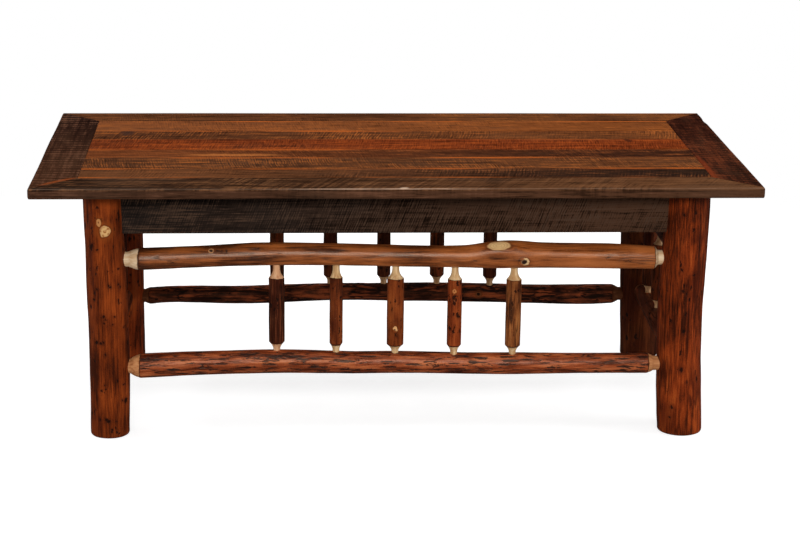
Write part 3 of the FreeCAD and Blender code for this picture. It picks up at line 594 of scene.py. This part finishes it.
rails = {
    "front_upper_rail": {
        # place along the rail, height of its middle and radius
        "stations": (
            (-0.441, 0.312, 0.0187), (-0.345, 0.3155, 0.0184), (-0.226, 0.3198, 0.0196), (-0.124, 0.3194, 0.019),
            (0.033, 0.3166, 0.0185), (0.118, 0.3158, 0.0192), (0.168, 0.3178, 0.0228), (0.2, 0.3186, 0.0236),
            (0.25, 0.3168, 0.022), (0.374, 0.3142, 0.0217), (0.441, 0.312, 0.0198),
        ),
        "marks": (
            (0.133, -8, 0.0045, 0.0018), (-0.377, -12, 0.0042, 0.0013), (-0.3, 40, 0.008, 0.0022),
            (-0.288, 38, 0.0016, 0.003), (-0.236, 44, 0.007, 0.0018), (0.208, -12, 0.005, 0.0016),
            (0.36, 8, 0.008, 0.0012), (0.395, -6, 0.01, 0.0014),
        ),
        # its climb is painted light: the rail grows lighter towards its right end, which the lamps light less
        "look": altered(barkLook,
            dark=(70, 32, 13), mid=(146, 77, 33), light=(182, 102, 49), climb=0.5, blush=0.2,
            blushColour=(96, 44, 16), streak=1.1, patch=1.0, furrowScale=60.0, furrowStretch=0.12,
            furrowWidth=0.03, breakLevel=0.5, fleckScale=45.0, fleckStretch=0.4, fleckSize=0.1, herdLevel=0.56,
            fleckColour=(42, 20, 12), rough=0.33, relief=0.0009, shine=0.6, shineTint=(1.0, 0.81, 0.65, 1.0),
            peeled=(222, 190, 150), peeledLight=(234, 210, 178), peeledDark=(196, 152, 106)),
        "knots": (
            altered(paleKnot,
                place=0.1735, angle=53.0, length=0.021, width=0.0104, rise=0.0045, pale=(234, 192, 132),
                face=0.0022, rings=29.0, ringDepth=0.26, vein=0.36, veinScale=110.0, veinColour=(176, 116, 66),
                ragged=0.0035, raggedScale=100.0),
            altered(paleKnot,
                place=0.217, angle=-18.0, length=0.0096, width=0.0086, heart=0.6, heartColour=(44, 20, 11),
                gap=Vector((1.0, 0.0, 0.0)), pale=(228, 192, 140)),
            altered(paleKnot,
                place=-0.3135, angle=42.0, length=0.0052, width=0.005, heart=0.6, heartColour=(40, 18, 10),
                pale=(190, 130, 84), rise=0.0008, ragged=0.003),
        ),
    },
    "front_lower_rail": {
        "stations": (
            (-0.443, 0.122, 0.021), (-0.318, 0.1272, 0.0205), (-0.2, 0.1296, 0.0203), (-0.073, 0.1264, 0.0192),
            (0.016, 0.1256, 0.0191), (0.135, 0.1228, 0.0184), (0.2, 0.1224, 0.019), (0.285, 0.1224, 0.0181),
            (0.443, 0.1215, 0.0176),
        ),
        "look": altered(barkLook,
            dark=(70, 28, 14), mid=(146, 66, 32), light=(186, 102, 58), streakScale=130.0, streak=1.6, patch=0.5,
            furrowScale=150.0, furrowStretch=0.15, furrowWidth=0.045, furrow=0.9, furrowColour=(38, 15, 10),
            breakScale=90.0, breakStretch=0.3, fleckColour=(32, 17, 15), fleckStretch=0.13, fleckScale=190.0,
            fleckSize=0.42, herdScale=60.0, herdLevel=0.27, ragged=0.0032, blush=0.15, rough=0.3, shine=0.42,
            shineTint=(1.0, 0.73, 0.55, 1.0), peeled=(196, 132, 84), peeledDark=(158, 94, 54),
            peeledLight=(206, 148, 98)),
    },
    "back_upper_rail": {"look": altered(barkLook, dark=(50, 26, 15), mid=(98, 50, 25), light=(130, 74, 40))},
    "back_lower_rail": {
        "look": altered(barkLook,
            dark=(30, 17, 12), mid=(82, 40, 24), light=(144, 68, 36), blush=0.2, streak=1.6, patch=1.4,
            patchScale=60.0, furrowScale=120.0, furrowStretch=0.15, furrowWarp=0.6, furrowWidth=0.07, furrow=0.9,
            furrowColour=(18, 12, 11), breakLevel=0.42, peeled=(96, 54, 32), peeledDark=(70, 36, 22),
            peeledLight=(120, 74, 46)),
        "knots": (
            altered(paleKnot,
                place=0.181, angle=4.0, length=0.006, width=0.0052, heart=0.66, heartColour=(26, 14, 9),
                pale=(126, 70, 38), veinColour=(90, 46, 24)),
        ),
    },
    "left_upper_rail": {"look": altered(barkLook, furrow=0.6)},
    "left_lower_rail": {"look": altered(barkLook, mid=(92, 42, 20), furrow=0.7)},
    "right_upper_rail": {"look": altered(barkLook, mid=(88, 42, 21), furrow=0.6)},
    "right_lower_rail": {
        "look": altered(barkLook,
            mid=(80, 37, 20), furrow=0.7, peeled=(120, 74, 48), peeledLight=(140, 92, 60),
            peeledDark=(88, 50, 30)),
    },
}
for nodeName, spec in rails.items():
    lengthwise = nodeName.startswith(("front", "back"))
    spec.update({"axis": "x" if lengthwise else "y", "around": 50 if lengthwise else 46, "lump": 0.0005,
                 "tenon": True, "flare": (0.7, 0.7), "barkThick": (0.5, 0.5),
                 "rayAngles": (0, 180, 30 if "upper" in nodeName else 330)})
    growLog(nodeName, spec)
print("rails grown")

spindleLook = altered(barkLook,
    relief=0.0009, fleckScale=170.0, herdScale=40.0, herdLevel=0.47, furrowScale=260.0, streakScale=170.0,
    patchScale=40.0)
spindles = {
    "front_spindle_1": altered(spindleLook,
        dark=(38, 19, 13), mid=(86, 41, 23), light=(126, 68, 42), streak=1.4, furrowScale=300.0,
        furrowStretch=0.03, furrowWarp=0.15, furrowWidth=0.07, furrow=0.85, breakLevel=0.3, relief=0.0014,
        peeled=(212, 160, 118), peeledDark=(178, 120, 84), peeledLight=(226, 182, 142)),
    "front_spindle_2": altered(spindleLook, dark=(54, 25, 14), mid=(106, 47, 21), light=(134, 66, 31), patch=1.6),
    "front_spindle_3": altered(spindleLook,
        dark=(76, 31, 14), mid=(120, 54, 22), light=(146, 73, 32), furrow=0.35),
    "front_spindle_4": altered(spindleLook,
        dark=(82, 31, 14), mid=(130, 55, 23), light=(154, 74, 33), furrow=0.3, fleckSize=0.42, herdLevel=0.44),
    "front_spindle_5": altered(spindleLook,
        dark=(66, 37, 22), mid=(128, 70, 34), light=(158, 98, 52), streak=1.5, furrow=0.6),
}
otherSpindles = ("back", 5), ("right", 3), ("left", 3)
for side, count in otherSpindles:
    for number in range(1, count + 1):
        warm = ((number * 2 + len(side)) % 5) / 4
        spindles[f"{side}_spindle_{number}"] = altered(
            spindleLook, dark=(36, 17, 11), mid=(70 + 28 * warm, 31 + 14 * warm, 17),
            light=(104 + 24 * warm, 54, 28), streak=1.0 + warm * 0.5, furrow=0.7 - warm * 0.3,
            peeled=(186, 142, 102), peeledLight=(206, 168, 128))
smallKnot = altered(paleKnot, rise=0.0006, ragged=0.003)
spindleKnots = {
    "front_spindle_3": {
        "knots": (
            altered(smallKnot,
                place=0.189, angle=-3.0, length=0.0068, width=0.0044, pale=(222, 168, 112), heart=0.3,
                heartColour=(74, 32, 16), gap=Vector((0.5, 0.0, 0.85))),
        ),
        "marks": ((0.179, 4, 0.003, 0.0022), (0.225, -25, 0.004, 0.0012)),
    },
    "front_spindle_4": {
        "knots": (
            altered(smallKnot,
                place=0.2565, angle=-6.0, length=0.0042, width=0.0038, pale=(186, 112, 64), heart=0.3,
                heartColour=(96, 38, 18)),
        ),
        "marks": (
            (0.2825, -4, 0.0032, 0.0014), (0.248, 2, 0.003, 0.0016), (0.2115, 28, 0.004, 0.0022),
            (0.192, -2, 0.0036, 0.0017),
        ),
    },
}
for nodeName, look in spindles.items():
    growLog(nodeName, {
        "axis": "z", "around": 36, "steps": {"bark": 0.0024, "shoulder": 0.0009}, "lump": 0.0006, "tenon": True,
        "flare": (1.8, 3.0), "barkThick": (1.9, 0.5), "rayAngles": (20, 140, 260), "look": look,
        **spindleKnots.get(nodeName, {}),
    })
print("spindles grown")


topLevel = 0.4572  # height of the top's face, in metres


def boardFinish(nodeName, spec):
    # Reclaimed, circle-sawn wood under satin lacquer, its grain along the board
    finish = Finish(nodeName + "_barnwood")
    place = finish.place()
    along = "xyz".index(spec["grain"])
    look = spec["look"]

    def drawn(share):
        return finish.drawn(place, spec["grain"], share)

    ways = (along, 1 - along, 2) if spec["faceUp"] else (along, 2, 1 - along)
    travel, across, through = (finish.part(place, way) for way in ways)
    fine = finish.noise(drawn(0.03), 420.0, detail=4.0, roughness=0.7)
    wide = finish.noise(drawn(0.04), look["grainScale"], detail=3.0, roughness=0.6, distortion=0.35)
    cloud = finish.noise(drawn(0.5), look["cloudScale"], detail=3.0)
    mottle = finish.noise(drawn(0.2), look["mottleScale"], detail=4.0, roughness=0.7)

    # The saw's teeth left arcs across the board, deeper in some places than in others
    side = across - (spec["low"] + spec["high"])[ways[1]] / 2
    jolt = (finish.noise(drawn(0.5), 26.0, detail=2.0) - 0.5) * look["jolt"]
    feed = travel + side * look["sawTilt"] + side * side * look["sawBow"] + jolt
    arcs = finish.joined(feed, side * 0.05, through * 0.05)
    kerf = finish.noise(arcs, 1 / look["kerf"], detail=4.0, roughness=0.7)
    scratch = finish.noise(arcs, 2.6 / look["kerf"], detail=2.0, roughness=0.6)
    patchy = finish.band(finish.noise(drawn(0.7), look["sawPatch"], detail=2.0), 0.5 - look["sawCover"], 0.6)
    patchy = patchy * 0.75 + 0.25
    under = 0.0
    if spec.get("mitre"):  # the edge faces of the frame are planed, so they show little of the saw
        planedBelow, sawnAbove = (spec["high"].z - depth for depth in spec["planed"])
        under = 1 - finish.band(finish.part(place, 2), planedBelow, sawnAbove)
        patchy = patchy * (1 - under * 0.7)
    wave = finish.math("SINE", feed * (math.tau / look["pitch"]) + (kerf - 0.5) * 6)
    wave = wave * (finish.band(fine, 0.4, 0.6) * 1.2 + 0.4)  # broken where the grain runs across

    tone = 0.5 + (fine - 0.5) * look["fine"] + (wide - 0.5) * look["wide"] + (cloud - 0.5) * look["cloud"] \
        + (mottle - 0.5) * look["mottle"] + (kerf - 0.5) * patchy * look["saw"] * 0.7 \
        + (scratch - 0.5) * patchy * look["saw"] + wave * patchy * look["teeth"]
    body = finish.mix(finish.band(travel, spec["low"][along], spec["high"][along]),
                      look["startColour"], look["endColour"])
    light = look["light"]
    if spec.get("mitre"):
        body = finish.mix(under * 0.75, body, look["sideColour"])
        light = finish.mix(under, light, shaded(look["sideColour"], 1.8))
    deep = finish.mix(1.0, body, shaded((1, 1, 1), look["deep"]), "MULTIPLY")
    colour = finish.mix(finish.band(tone, 0.5, 0.86), body, light)
    colour = finish.mix(1 - finish.band(tone, 0.16, 0.5), colour, deep)
    cut = finish.band(kerf, 0.56, 0.66) * patchy
    colour = finish.mix(cut * look["cut"], colour, look["cutColour"])
    grey = finish.band(finish.noise(drawn(0.3), 16.0, detail=3.0, distortion=0.4), 0.48, 0.68)
    colour = finish.mix(grey * look["grey"], colour, look["greyColour"])

    for rim in spec.get("edgeHighlights", ()):  # painted highlight: a bright orange strip along each plank's edge, where the eased edge catches the light
        highlightWobble = finish.noise(drawn(0.22), 30.0, detail=3.0)
        reach = finish.gap(across, rim["place"]) + (highlightWobble - 0.5) * rim["width"] * 2.4
        line = 1 - finish.band(reach, rim["width"] * 0.2, rim["width"] * 0.9)
        faded = finish.band(finish.noise(drawn(0.3), 16.0, detail=3.0), 0.44, 0.62) * 0.95 + 0.05
        colour = finish.mix(line * faded * rim["strength"], colour, rim["colour"])
    for spot in spec.get("spots", ()):  # knots, nail stains and worn places
        here = finish.add("ShaderNodeMapping", {"vector_type": "TEXTURE"}, {
            0: finish.shaken(place, 60.0, spot.get("ragged", 0.012)), 1: (*spot["place"], topLevel),
            2: (0.0, 0.0, math.radians(spot.get("turn", 0.0))), 3: (*spot["size"], spot.get("depth", 0.02))})
        off = finish.distance(here, (0.0, 0.0, 0.0))
        colour = finish.mix((1 - finish.band(off, 0.45, 1.0)) * spot["strength"], colour, spot["colour"])
    for arris in spec.get("arrises", ()):  # a painted highlight: a pale line along the front edge, broken up in places
        off = finish.distance(finish.scaled(place, (0.0, 1.0, 1.0)), (0.0, *arris["place"]))
        highlightBreakup = finish.noise(drawn(0.3), 60.0, detail=3.0)
        line = 1 - finish.band(off + (highlightBreakup - 0.5) * 0.004, arris["width"] * 0.5, arris["width"])
        middle, start, end = arris["along"]
        reach = finish.band(finish.gap(travel, middle), start, end)
        amount = arris["strength"] * (1 - reach * 0.8) * (finish.band(highlightBreakup, 0.36, 0.6) * 0.6 + 0.4)
        colour = finish.mix(line * amount, colour, arris["colour"])

    height = fine * 0.3 + wide * 0.3 + (kerf + scratch * 0.5) * patchy * look["saw"] * 0.5
    rough = look["rough"] + (fine - 0.5) * 0.2 - (kerf - 0.5) * 0.2
    return finish.finishWith(colour, rough, height, look)


# How an outer edge has worn: how far in that reaches, and how closely it sways and ripples
edgeWear = {"reach": 0.02, "sway": 5.5, "ripple": 31.0, "swayShare": 0.75, "rippleShare": 0.25}


def millBoard(nodeName, spec):
    # A board with eased edges, slightly uneven on top and along its outer edge
    low, high = spec["low"], spec["high"]
    size = high - low
    middle = (low + high) / 2
    along = "xyz".index(spec["grain"])
    across = 1 - along
    bm = bmesh.new()
    bmesh.ops.create_cube(bm, size=1)
    bmesh.ops.scale(bm, verts=bm.verts, vec=size)
    bmesh.ops.translate(bm, verts=bm.verts, vec=middle)
    stepAlong, stepAcross, stepUp = spec["steps"]  # small faces, which the wear can move
    for axis, step in sorted(((along, stepAlong), (across, stepAcross), (2, stepUp))):
        chosen = []
        for item in bm.edges:
            way = item.verts[1].co - item.verts[0].co
            if abs(way[axis]) > 0.9 * way.length:
                chosen.append(item)
        cuts = max(0, round(size[axis] / step) - 1)
        if cuts:
            bmesh.ops.subdivide_edges(bm, edges=chosen, cuts=cuts, use_grid_fill=True)

    if spec.get("mitre"):  # more cuts where the corners are rounded
        for end, way in ((low[along], 1), (high[along], -1)):
            for share in (0.1, 0.25, 0.45, 0.7, 1.0):
                point, normal = Vector(), Vector()
                point[along] = end + way * spec["corner"] * share
                normal[along] = 1.0
                bmesh.ops.bisect_plane(bm, geom=bm.verts[:] + bm.edges[:] + bm.faces[:], dist=1e-6,
                                       plane_co=point, plane_no=normal)

    tiny = 1e-5
    for edge, side, top, radius, segments in spec["eased"]:
        axis = along if edge == "end" else across
        wall = high[axis] if side > 0 else low[axis]
        level = high.z if top else low.z
        rim = [item for item in bm.edges
               if all(abs(v.co[axis] - wall) < tiny and abs(v.co.z - level) < tiny for v in item.verts)]
        bmesh.ops.bevel(bm, geom=rim, offset=radius, segments=segments, affect="EDGES", profile=0.5,
                        material=-1, clamp_overlap=True)
    bmesh.ops.remove_doubles(bm, verts=bm.verts, dist=tiny)

    for vertex in bm.verts:
        co = vertex.co
        if spec.get("mitre"):
            outer, half = (high if spec["outside"] > 0 else low)[across], size[along] / 2
            inward = -spec["outside"]
            # The ends are cut back to the corners of the frame
            co[along] *= (half - (co[across] - outer) * inward - spec["mitreGap"]) / half
            # The saw and years left the outer edge a little uneven
            hold = max(0.0, 1 - abs(co[across] - outer) / edgeWear["reach"])
            sway = 0.5 + 0.5 * noise.noise(Vector((co[along] * edgeWear["sway"], outer * 3, 0.4)))
            ripple = 0.5 + 0.5 * noise.noise(Vector((co[along] * edgeWear["ripple"], outer * 5, 2.4)))
            shift = spec["wander"] * (edgeWear["swayShare"] * sway + edgeWear["rippleShare"] * ripple)
            for nick in spec.get("nicks", ()):
                shift += nick["depth"] * math.exp(-((co[along] - nick["place"]) / nick["length"]) ** 2)
            co[across] += inward * hold * shift
            # The corners of the top are rounded
            reach = spec["corner"]
            limit = Vector((cadBox[1][0] - reach, cadBox[1][1] - reach))
            past = Vector((abs(co.x) - limit.x, abs(co.y) - limit.y))
            if past.x > 0 and past.y > 0 and past.length > reach:
                past *= reach / past.length
                co.x = math.copysign(limit.x + past.x, co.x)
                co.y = math.copysign(limit.y + past.y, co.y)
        if spec.get("uneven"):
            rise = (co.z - low.z) / size.z
            wave = 0.5 + 0.5 * noise.noise(Vector((co.x * 4.0, co.y * 22.0, 7.7)))
            co.z -= spec["uneven"] * wave * rise
            co.z -= spec.get("sunk", 0.0) * rise
    addPiece(bm, nodeName + "_sawn", nodeName, boardFinish(nodeName, spec), sharpAngle=50.0)


plankLook = altered({},
    startColour=(112, 66, 38), endColour=(112, 66, 38), light=(152, 84, 38), deep=0.36, grainScale=110.0,
    cloudScale=8.0, fine=1.1, wide=0.8, cloud=0.45, mottleScale=140.0, mottle=1.0, saw=0.9, teeth=0.05,
    pitch=0.0045, sawTilt=0.12, sawBow=0.6, kerf=0.0045, sawPatch=9.0, sawCover=0.1, jolt=0.006, cut=0.3,
    cutColour=(52, 32, 21), grey=0.2, greyColour=(78, 54, 38), rough=0.6, relief=0.0014, shine=0.004,
    shineTint=(1.0, 0.62, 0.4, 1.0))
# A painted highlight along the planks' edges, and how far in from the back and front edges its middle lies
edgeHighlight = {"colour": paint(186, 92, 32), "width": 0.0055}
edgeHighlightPlaces = {"back": 0.004, "front": 0.002}
tongue = 0.008  # hidden tongues of the CAD planks
planks = {
    "field_plank_1": {
        "look": altered(plankLook,
            startColour=(115, 65, 36), endColour=(113, 61, 28), saw=0.7, cut=0.15, sawBow=-0.5),
        "backHighlight": 0.75, "frontHighlight": 0.25, "sunk": 0.0002,
    },
    "field_plank_2": {
        "look": altered(plankLook,
            startColour=(79, 45, 27), endColour=(97, 54, 28), saw=1.2, kerf=0.006, sawTilt=-0.16, pitch=0.0055,
            teeth=0.08, cut=0.4),
        "backHighlight": 0.65, "frontHighlight": 0.1, "sunk": 0.0006,
        "spots": (
            {"place": (-0.474, 0.125), "size": (0.016, 0.03), "colour": paint(48, 34, 30), "strength": 0.7},
        ),
    },
    "field_plank_3": {
        "look": altered(plankLook,
            startColour=(101, 45, 21), endColour=(107, 45, 18), light=(148, 68, 26), saw=1.2, cut=0.2, wide=1.0,
            deep=0.4, sawCover=0.25, sawTilt=-0.1),
        "backHighlight": 0.35, "frontHighlight": 0.2, "sunk": 0.0003,
        "spots": ({"place": (0.435, 0.06), "size": (0.008, 0.02), "colour": paint(52, 26, 16), "strength": 0.8},),
    },
    "field_plank_4": {
        "look": altered(plankLook,
            startColour=(95, 50, 26), endColour=(55, 30, 19), light=(130, 70, 35), kerf=0.004, sawTilt=0.2),
        "backHighlight": 0.65, "frontHighlight": 0.15, "sunk": 0.0005,
        "spots": (
            {"place": (-0.28, -0.055), "size": (0.11, 0.012), "colour": paint(186, 112, 56), "strength": 0.45},
        ),
    },
    "field_plank_5": {
        "look": altered(plankLook,
            startColour=(75, 45, 28), endColour=(91, 53, 30), saw=1.0, kerf=0.005, sawBow=-0.7, grey=0.3,
            teeth=0.08),
        "backHighlight": 0.75, "frontHighlight": 0.3, "sunk": 0.0002,
    },
    "field_plank_6": {
        "look": altered(plankLook,
            startColour=(92, 55, 32), endColour=(42, 27, 20), light=(116, 68, 38), saw=1.0, kerf=0.005,
            sawTilt=-0.17, pitch=0.006, teeth=0.1, sawBow=1.0, sawPatch=14.0, sawCover=0.02),
        "backHighlight": 0.65, "frontHighlight": 0.5, "sunk": 0.0004,
    },
}
for number, (nodeName, spec) in enumerate(planks.items(), start=1):
    low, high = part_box(nodeName)
    low.x += tongue
    high.x -= tongue
    high.y -= tongue
    if number == len(planks):
        low.y += tongue
    spec.update({
        "low": low, "high": high, "grain": "x", "faceUp": True, "uneven": 0.0004,
        "steps": (0.012, 0.009, 0.007),  # along the grain, across it and up
        # which edges are eased: the place, side, on top or not, radius and segments of each
        "eased": [(edge, side, True, radius, segments)
                  for edge, radius, segments in (("side", 0.0016, 3), ("end", 0.001, 2)) for side in (-1, 1)],
        "edgeHighlights": [{**edgeHighlight, "place": high.y - edgeHighlightPlaces["back"], "strength": spec["backHighlight"]},
                 {**edgeHighlight, "place": low.y + edgeHighlightPlaces["front"], "strength": spec["frontHighlight"]}],
    })
    millBoard(nodeName, spec)

frameLook = altered(plankLook, cloud=1.1, sideColour=(74, 48, 34))
# A painted highlight along the front edge of the top, where its rounded arris catches the lamps
paintedArrisHighlight = {
    "place": (-0.3032, 0.4558), "width": 0.002, "colour": paint(176, 146, 124), "strength": 0.7,
    "along": (-0.03, 0.06, 0.22),  # its middle along the board, and where it starts and ends to fade
}
frameBoards = {
    "frame_board_front": {
        "outside": -1, "grain": "x", "arrises": (paintedArrisHighlight,),
        "nicks": ({"place": 0.02, "depth": 0.001, "length": 0.008},),
        "spots": ({
            "place": (0.008, -0.3022), "size": (0.011, 0.0034), "colour": paint(206, 178, 152),
            "strength": 0.7, "depth": 0.003, "ragged": 0.004
        },),
        "look": altered(frameLook,
            startColour=(36, 22, 15), endColour=(94, 60, 37), light=(106, 69, 43), saw=1.0, sawTilt=-0.5,
            kerf=0.009, pitch=0.012, cut=0.15, wide=1.2, cloud=0.7, grey=0.3, greyColour=(68, 50, 38)),
    },
    "frame_board_back": {
        "outside": 1, "grain": "x",
        "look": altered(frameLook,
            startColour=(93, 54, 31), endColour=(87, 49, 27), light=(136, 78, 36), saw=0.5, cut=0.15),
    },
    "frame_board_left": {
        "outside": -1, "grain": "y",
        "look": altered(frameLook,
            startColour=(60, 36, 23), endColour=(36, 20, 15), light=(95, 62, 45), saw=0.8, teeth=0.13,
            pitch=0.0175, sawTilt=0.03, sawBow=0.3, kerf=0.009, sawCover=0.25,
            cutColour=(32, 21, 17), fine=0.4, mottle=0.45, cloud=0.7),
        "spots": ({
            "place": (-0.562, -0.254), "size": (0.05, 0.011), "turn": 45.0, "ragged": 0.005,
            "colour": paint(134, 64, 28), "strength": 0.6
        },),
    },
    "frame_board_right": {
        "outside": 1, "grain": "y",
        "nicks": ({"place": 0.232, "depth": 0.0022, "length": 0.018},),
        "look": altered(frameLook,
            startColour=(45, 24, 16), endColour=(49, 22, 14), light=(90, 44, 25), saw=1.3, teeth=0.15,
            pitch=0.015, sawTilt=0.3, sawBow=-0.4, kerf=0.01, sawCover=0.3, cut=0.35, cutColour=(28, 17, 13),
            fine=0.5, mottle=0.8),
        "spots": ({
            "place": (0.537, -0.17), "size": (0.009, 0.13), "colour": paint(124, 50, 22),
            "strength": 0.5, "ragged": 0.008,
        },),
    },
}
for nodeName, spec in frameBoards.items():
    low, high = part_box(nodeName)
    outside = spec["outside"]
    spec.update({
        "low": low, "high": high, "faceUp": True, "mitre": True, "mitreGap": 0.0004, "corner": 0.008,
        "wander": 0.0018, "uneven": 0.0003, "planed": (0.006, 0.0035), "steps": (0.009, 0.011, 0.007),
        "eased": [("side", outside, True, 0.0046, 4), ("side", outside, False, 0.004, 4),
                  ("side", -outside, True, 0.0014, 2)],
    })
    millBoard(nodeName, spec)
print("top milled")

apronLook = altered(plankLook,
    startColour=(31, 25, 22), endColour=(75, 51, 37), light=(75, 56, 44), deep=0.18, saw=1.7, teeth=0.15,
    pitch=0.0042, sawTilt=-0.38, sawBow=0.2, kerf=0.0036, jolt=0.002, sawPatch=11.0, sawCover=0.12, cut=0.35,
    cutColour=(22, 18, 17), greyColour=(54, 45, 40), fine=1.3, mottle=0.7, cloud=0.5,
    rough=0.65)
for side in ("front", "right", "back", "left"):
    nodeName = side + "_apron"
    low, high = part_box(nodeName)
    millBoard(nodeName, {
        "low": low, "high": high, "grain": "x" if side in ("front", "back") else "y", "faceUp": False,
        "look": apronLook, "steps": (0.012, 0.011, 0.011),
        "eased": [("side", -1, False, 0.0012, 2), ("side", 1, False, 0.0012, 2)],
    })
print("aprons milled")


def carried(nodeNames, material):  # CAD shapes that stay as they are, with a real finish
    for nodeName in nodeNames:
        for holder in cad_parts[nodeName].material_slots:
            holder.material = material


pineLook = {"relief": 0.0006, "shine": 0.05, "shineTint": (1.0, 0.7, 0.5, 1.0)}
steelLook = {"relief": 0.0001, "shine": 0.5, "shineTint": (1.0, 1.0, 1.0, 1.0), "metal": 1.0}


def pineFinish(name, axis, stain=1.0):  # stain: the share of the light that its stain lets back
    finish = Finish(name)
    lengthwise = finish.drawn(finish.place(), axis, 0.05)
    grain = finish.noise(lengthwise, 190.0, detail=5.0, roughness=0.65)
    rings = finish.noise(lengthwise, 46.0, detail=2.0, distortion=0.6)
    colour = finish.ramp(grain * 0.5 + rings * 0.5, [
        (0.35, shaded(paint(84, 52, 30), stain)), (0.5, shaded(paint(122, 80, 47), stain)),
        (0.66, shaded(paint(150, 104, 64), stain))])
    return finish.finishWith(colour, 0.62 + (grain - 0.5) * 0.3, grain, pineLook)


def steelFinish(name):
    finish = Finish(name)
    brushed = finish.noise(finish.place(), 900.0, detail=3.0)
    colour = finish.ramp(brushed, [(0.35, paint(120, 118, 112)), (0.65, paint(176, 172, 164))])
    return finish.finishWith(colour, 0.32 + brushed * 0.2, brushed, steelLook)


carried(["top_batten_1", "top_batten_2", "top_batten_3"], pineFinish("batten_pine", "y"))
carried(["front_left_brace", "front_right_brace", "back_right_brace", "back_left_brace"],
        pineFinish("brace_pine", "z", 0.4))
carried(["batten_screws", "brace_screws"], steelFinish("screw_steel"))
print("hidden pieces finished")


scene = bpy.context.scene
scene.view_settings.view_transform = "Standard"


def placeCamera():
    data = bpy.data.cameras.new("studioCamera")
    data.lens = camera["lens"]
    data.sensor_width = camera["sensor"]
    data.clip_end = camera["clipEnd"]
    viewer = bpy.data.objects.new("studioCamera", data)
    viewer.matrix_world = Matrix.Translation(camera["place"]) @ Matrix.Rotation(-camera["turnToRight"], 4, "Z") \
        @ Matrix.Rotation(math.pi / 2 - camera["pitchDown"], 4, "X") @ Matrix.Rotation(camera["roll"], 4, "Z")
    scene.collection.objects.link(viewer)
    scene.camera = viewer


def studioWhite(finish):  # white to the camera, a dim even light to the wood, dimmer still in its lacquer
    seen, glossy, through = (finish.add("ShaderNodeLightPath", out=f"Is {ray} Ray")
                             for ray in ("Camera", "Glossy", "Transmission"))
    direct = finish.math("MAXIMUM", seen, through)
    level = studio["ambient"] + direct * (1 - studio["ambient"]) \
        + glossy * (1 - direct) * (studio["shine"] - studio["ambient"])
    return level, seen, glossy


def lightBackdrop():
    world = bpy.data.worlds.new("studioWorld")
    world.use_nodes = True
    scene.world = world
    backdrop = Finish("studioBackdrop", world.node_tree)
    white = backdrop.add("ShaderNodeBackground", {}, {
        "Color": (1, 1, 1, 1), "Strength": studioWhite(backdrop)[0]})
    backdrop.add("ShaderNodeOutputWorld", {}, {0: white})


def layFloor():  # pale near the table, where its shadow falls, and plain white further out
    bm = bmesh.new()
    bmesh.ops.create_grid(bm, x_segments=1, y_segments=1, size=studio["floorSize"] / 2)
    mesh = bpy.data.meshes.new("studioFloor")
    bm.to_mesh(mesh)
    bm.free()
    floor = bpy.data.objects.new("studioFloor", mesh)
    scene.collection.objects.link(floor)
    finish = Finish("studioFloor")
    level, seen, glossy = studioWhite(finish)
    shade = studio["floorColour"]
    matte = finish.add("ShaderNodeBsdfDiffuse", {}, {"Color": (shade, shade, shade, 1)})
    lift = finish.add("ShaderNodeEmission", {}, {"Strength": seen * studio["floorLift"]})
    near = finish.add("ShaderNodeAddShader", {}, {0: matte, 1: lift})
    white = finish.add("ShaderNodeEmission", {}, {"Strength": level})
    reach = finish.distance(finish.place(), (0.0, 0.0, 0.0))
    far = finish.band(reach, studio["floorReach"], studio["floorReach"] + studio["floorFade"])
    far = finish.math("MAXIMUM", far, glossy)
    both = finish.add("ShaderNodeMixShader", {}, {0: far, 1: near, 2: white})
    finish.add("ShaderNodeOutputMaterial", {}, {0: both})
    mesh.materials.append(finish.material)


def hangLamps():
    for name, lamp in lamps.items():
        data = bpy.data.lights.new(name, "AREA")
        data.shape = "RECTANGLE"
        data.size, data.size_y = lamp["size"]
        data.energy = lamp["power"]
        light = bpy.data.objects.new(name, data)
        light.location = lamp["place"]
        aim = Vector((0.0, 0.0, studio["aimHeight"])) - Vector(lamp["place"])
        light.rotation_euler = aim.to_track_quat("-Z", "Y").to_euler()
        light.visible_glossy = lamp.get("mirrored", True)  # the back lamp leaves no grey rim on the lacquer
        scene.collection.objects.link(light)


placeCamera()
lightBackdrop()
layFloor()
hangLamps()
print("studio built")
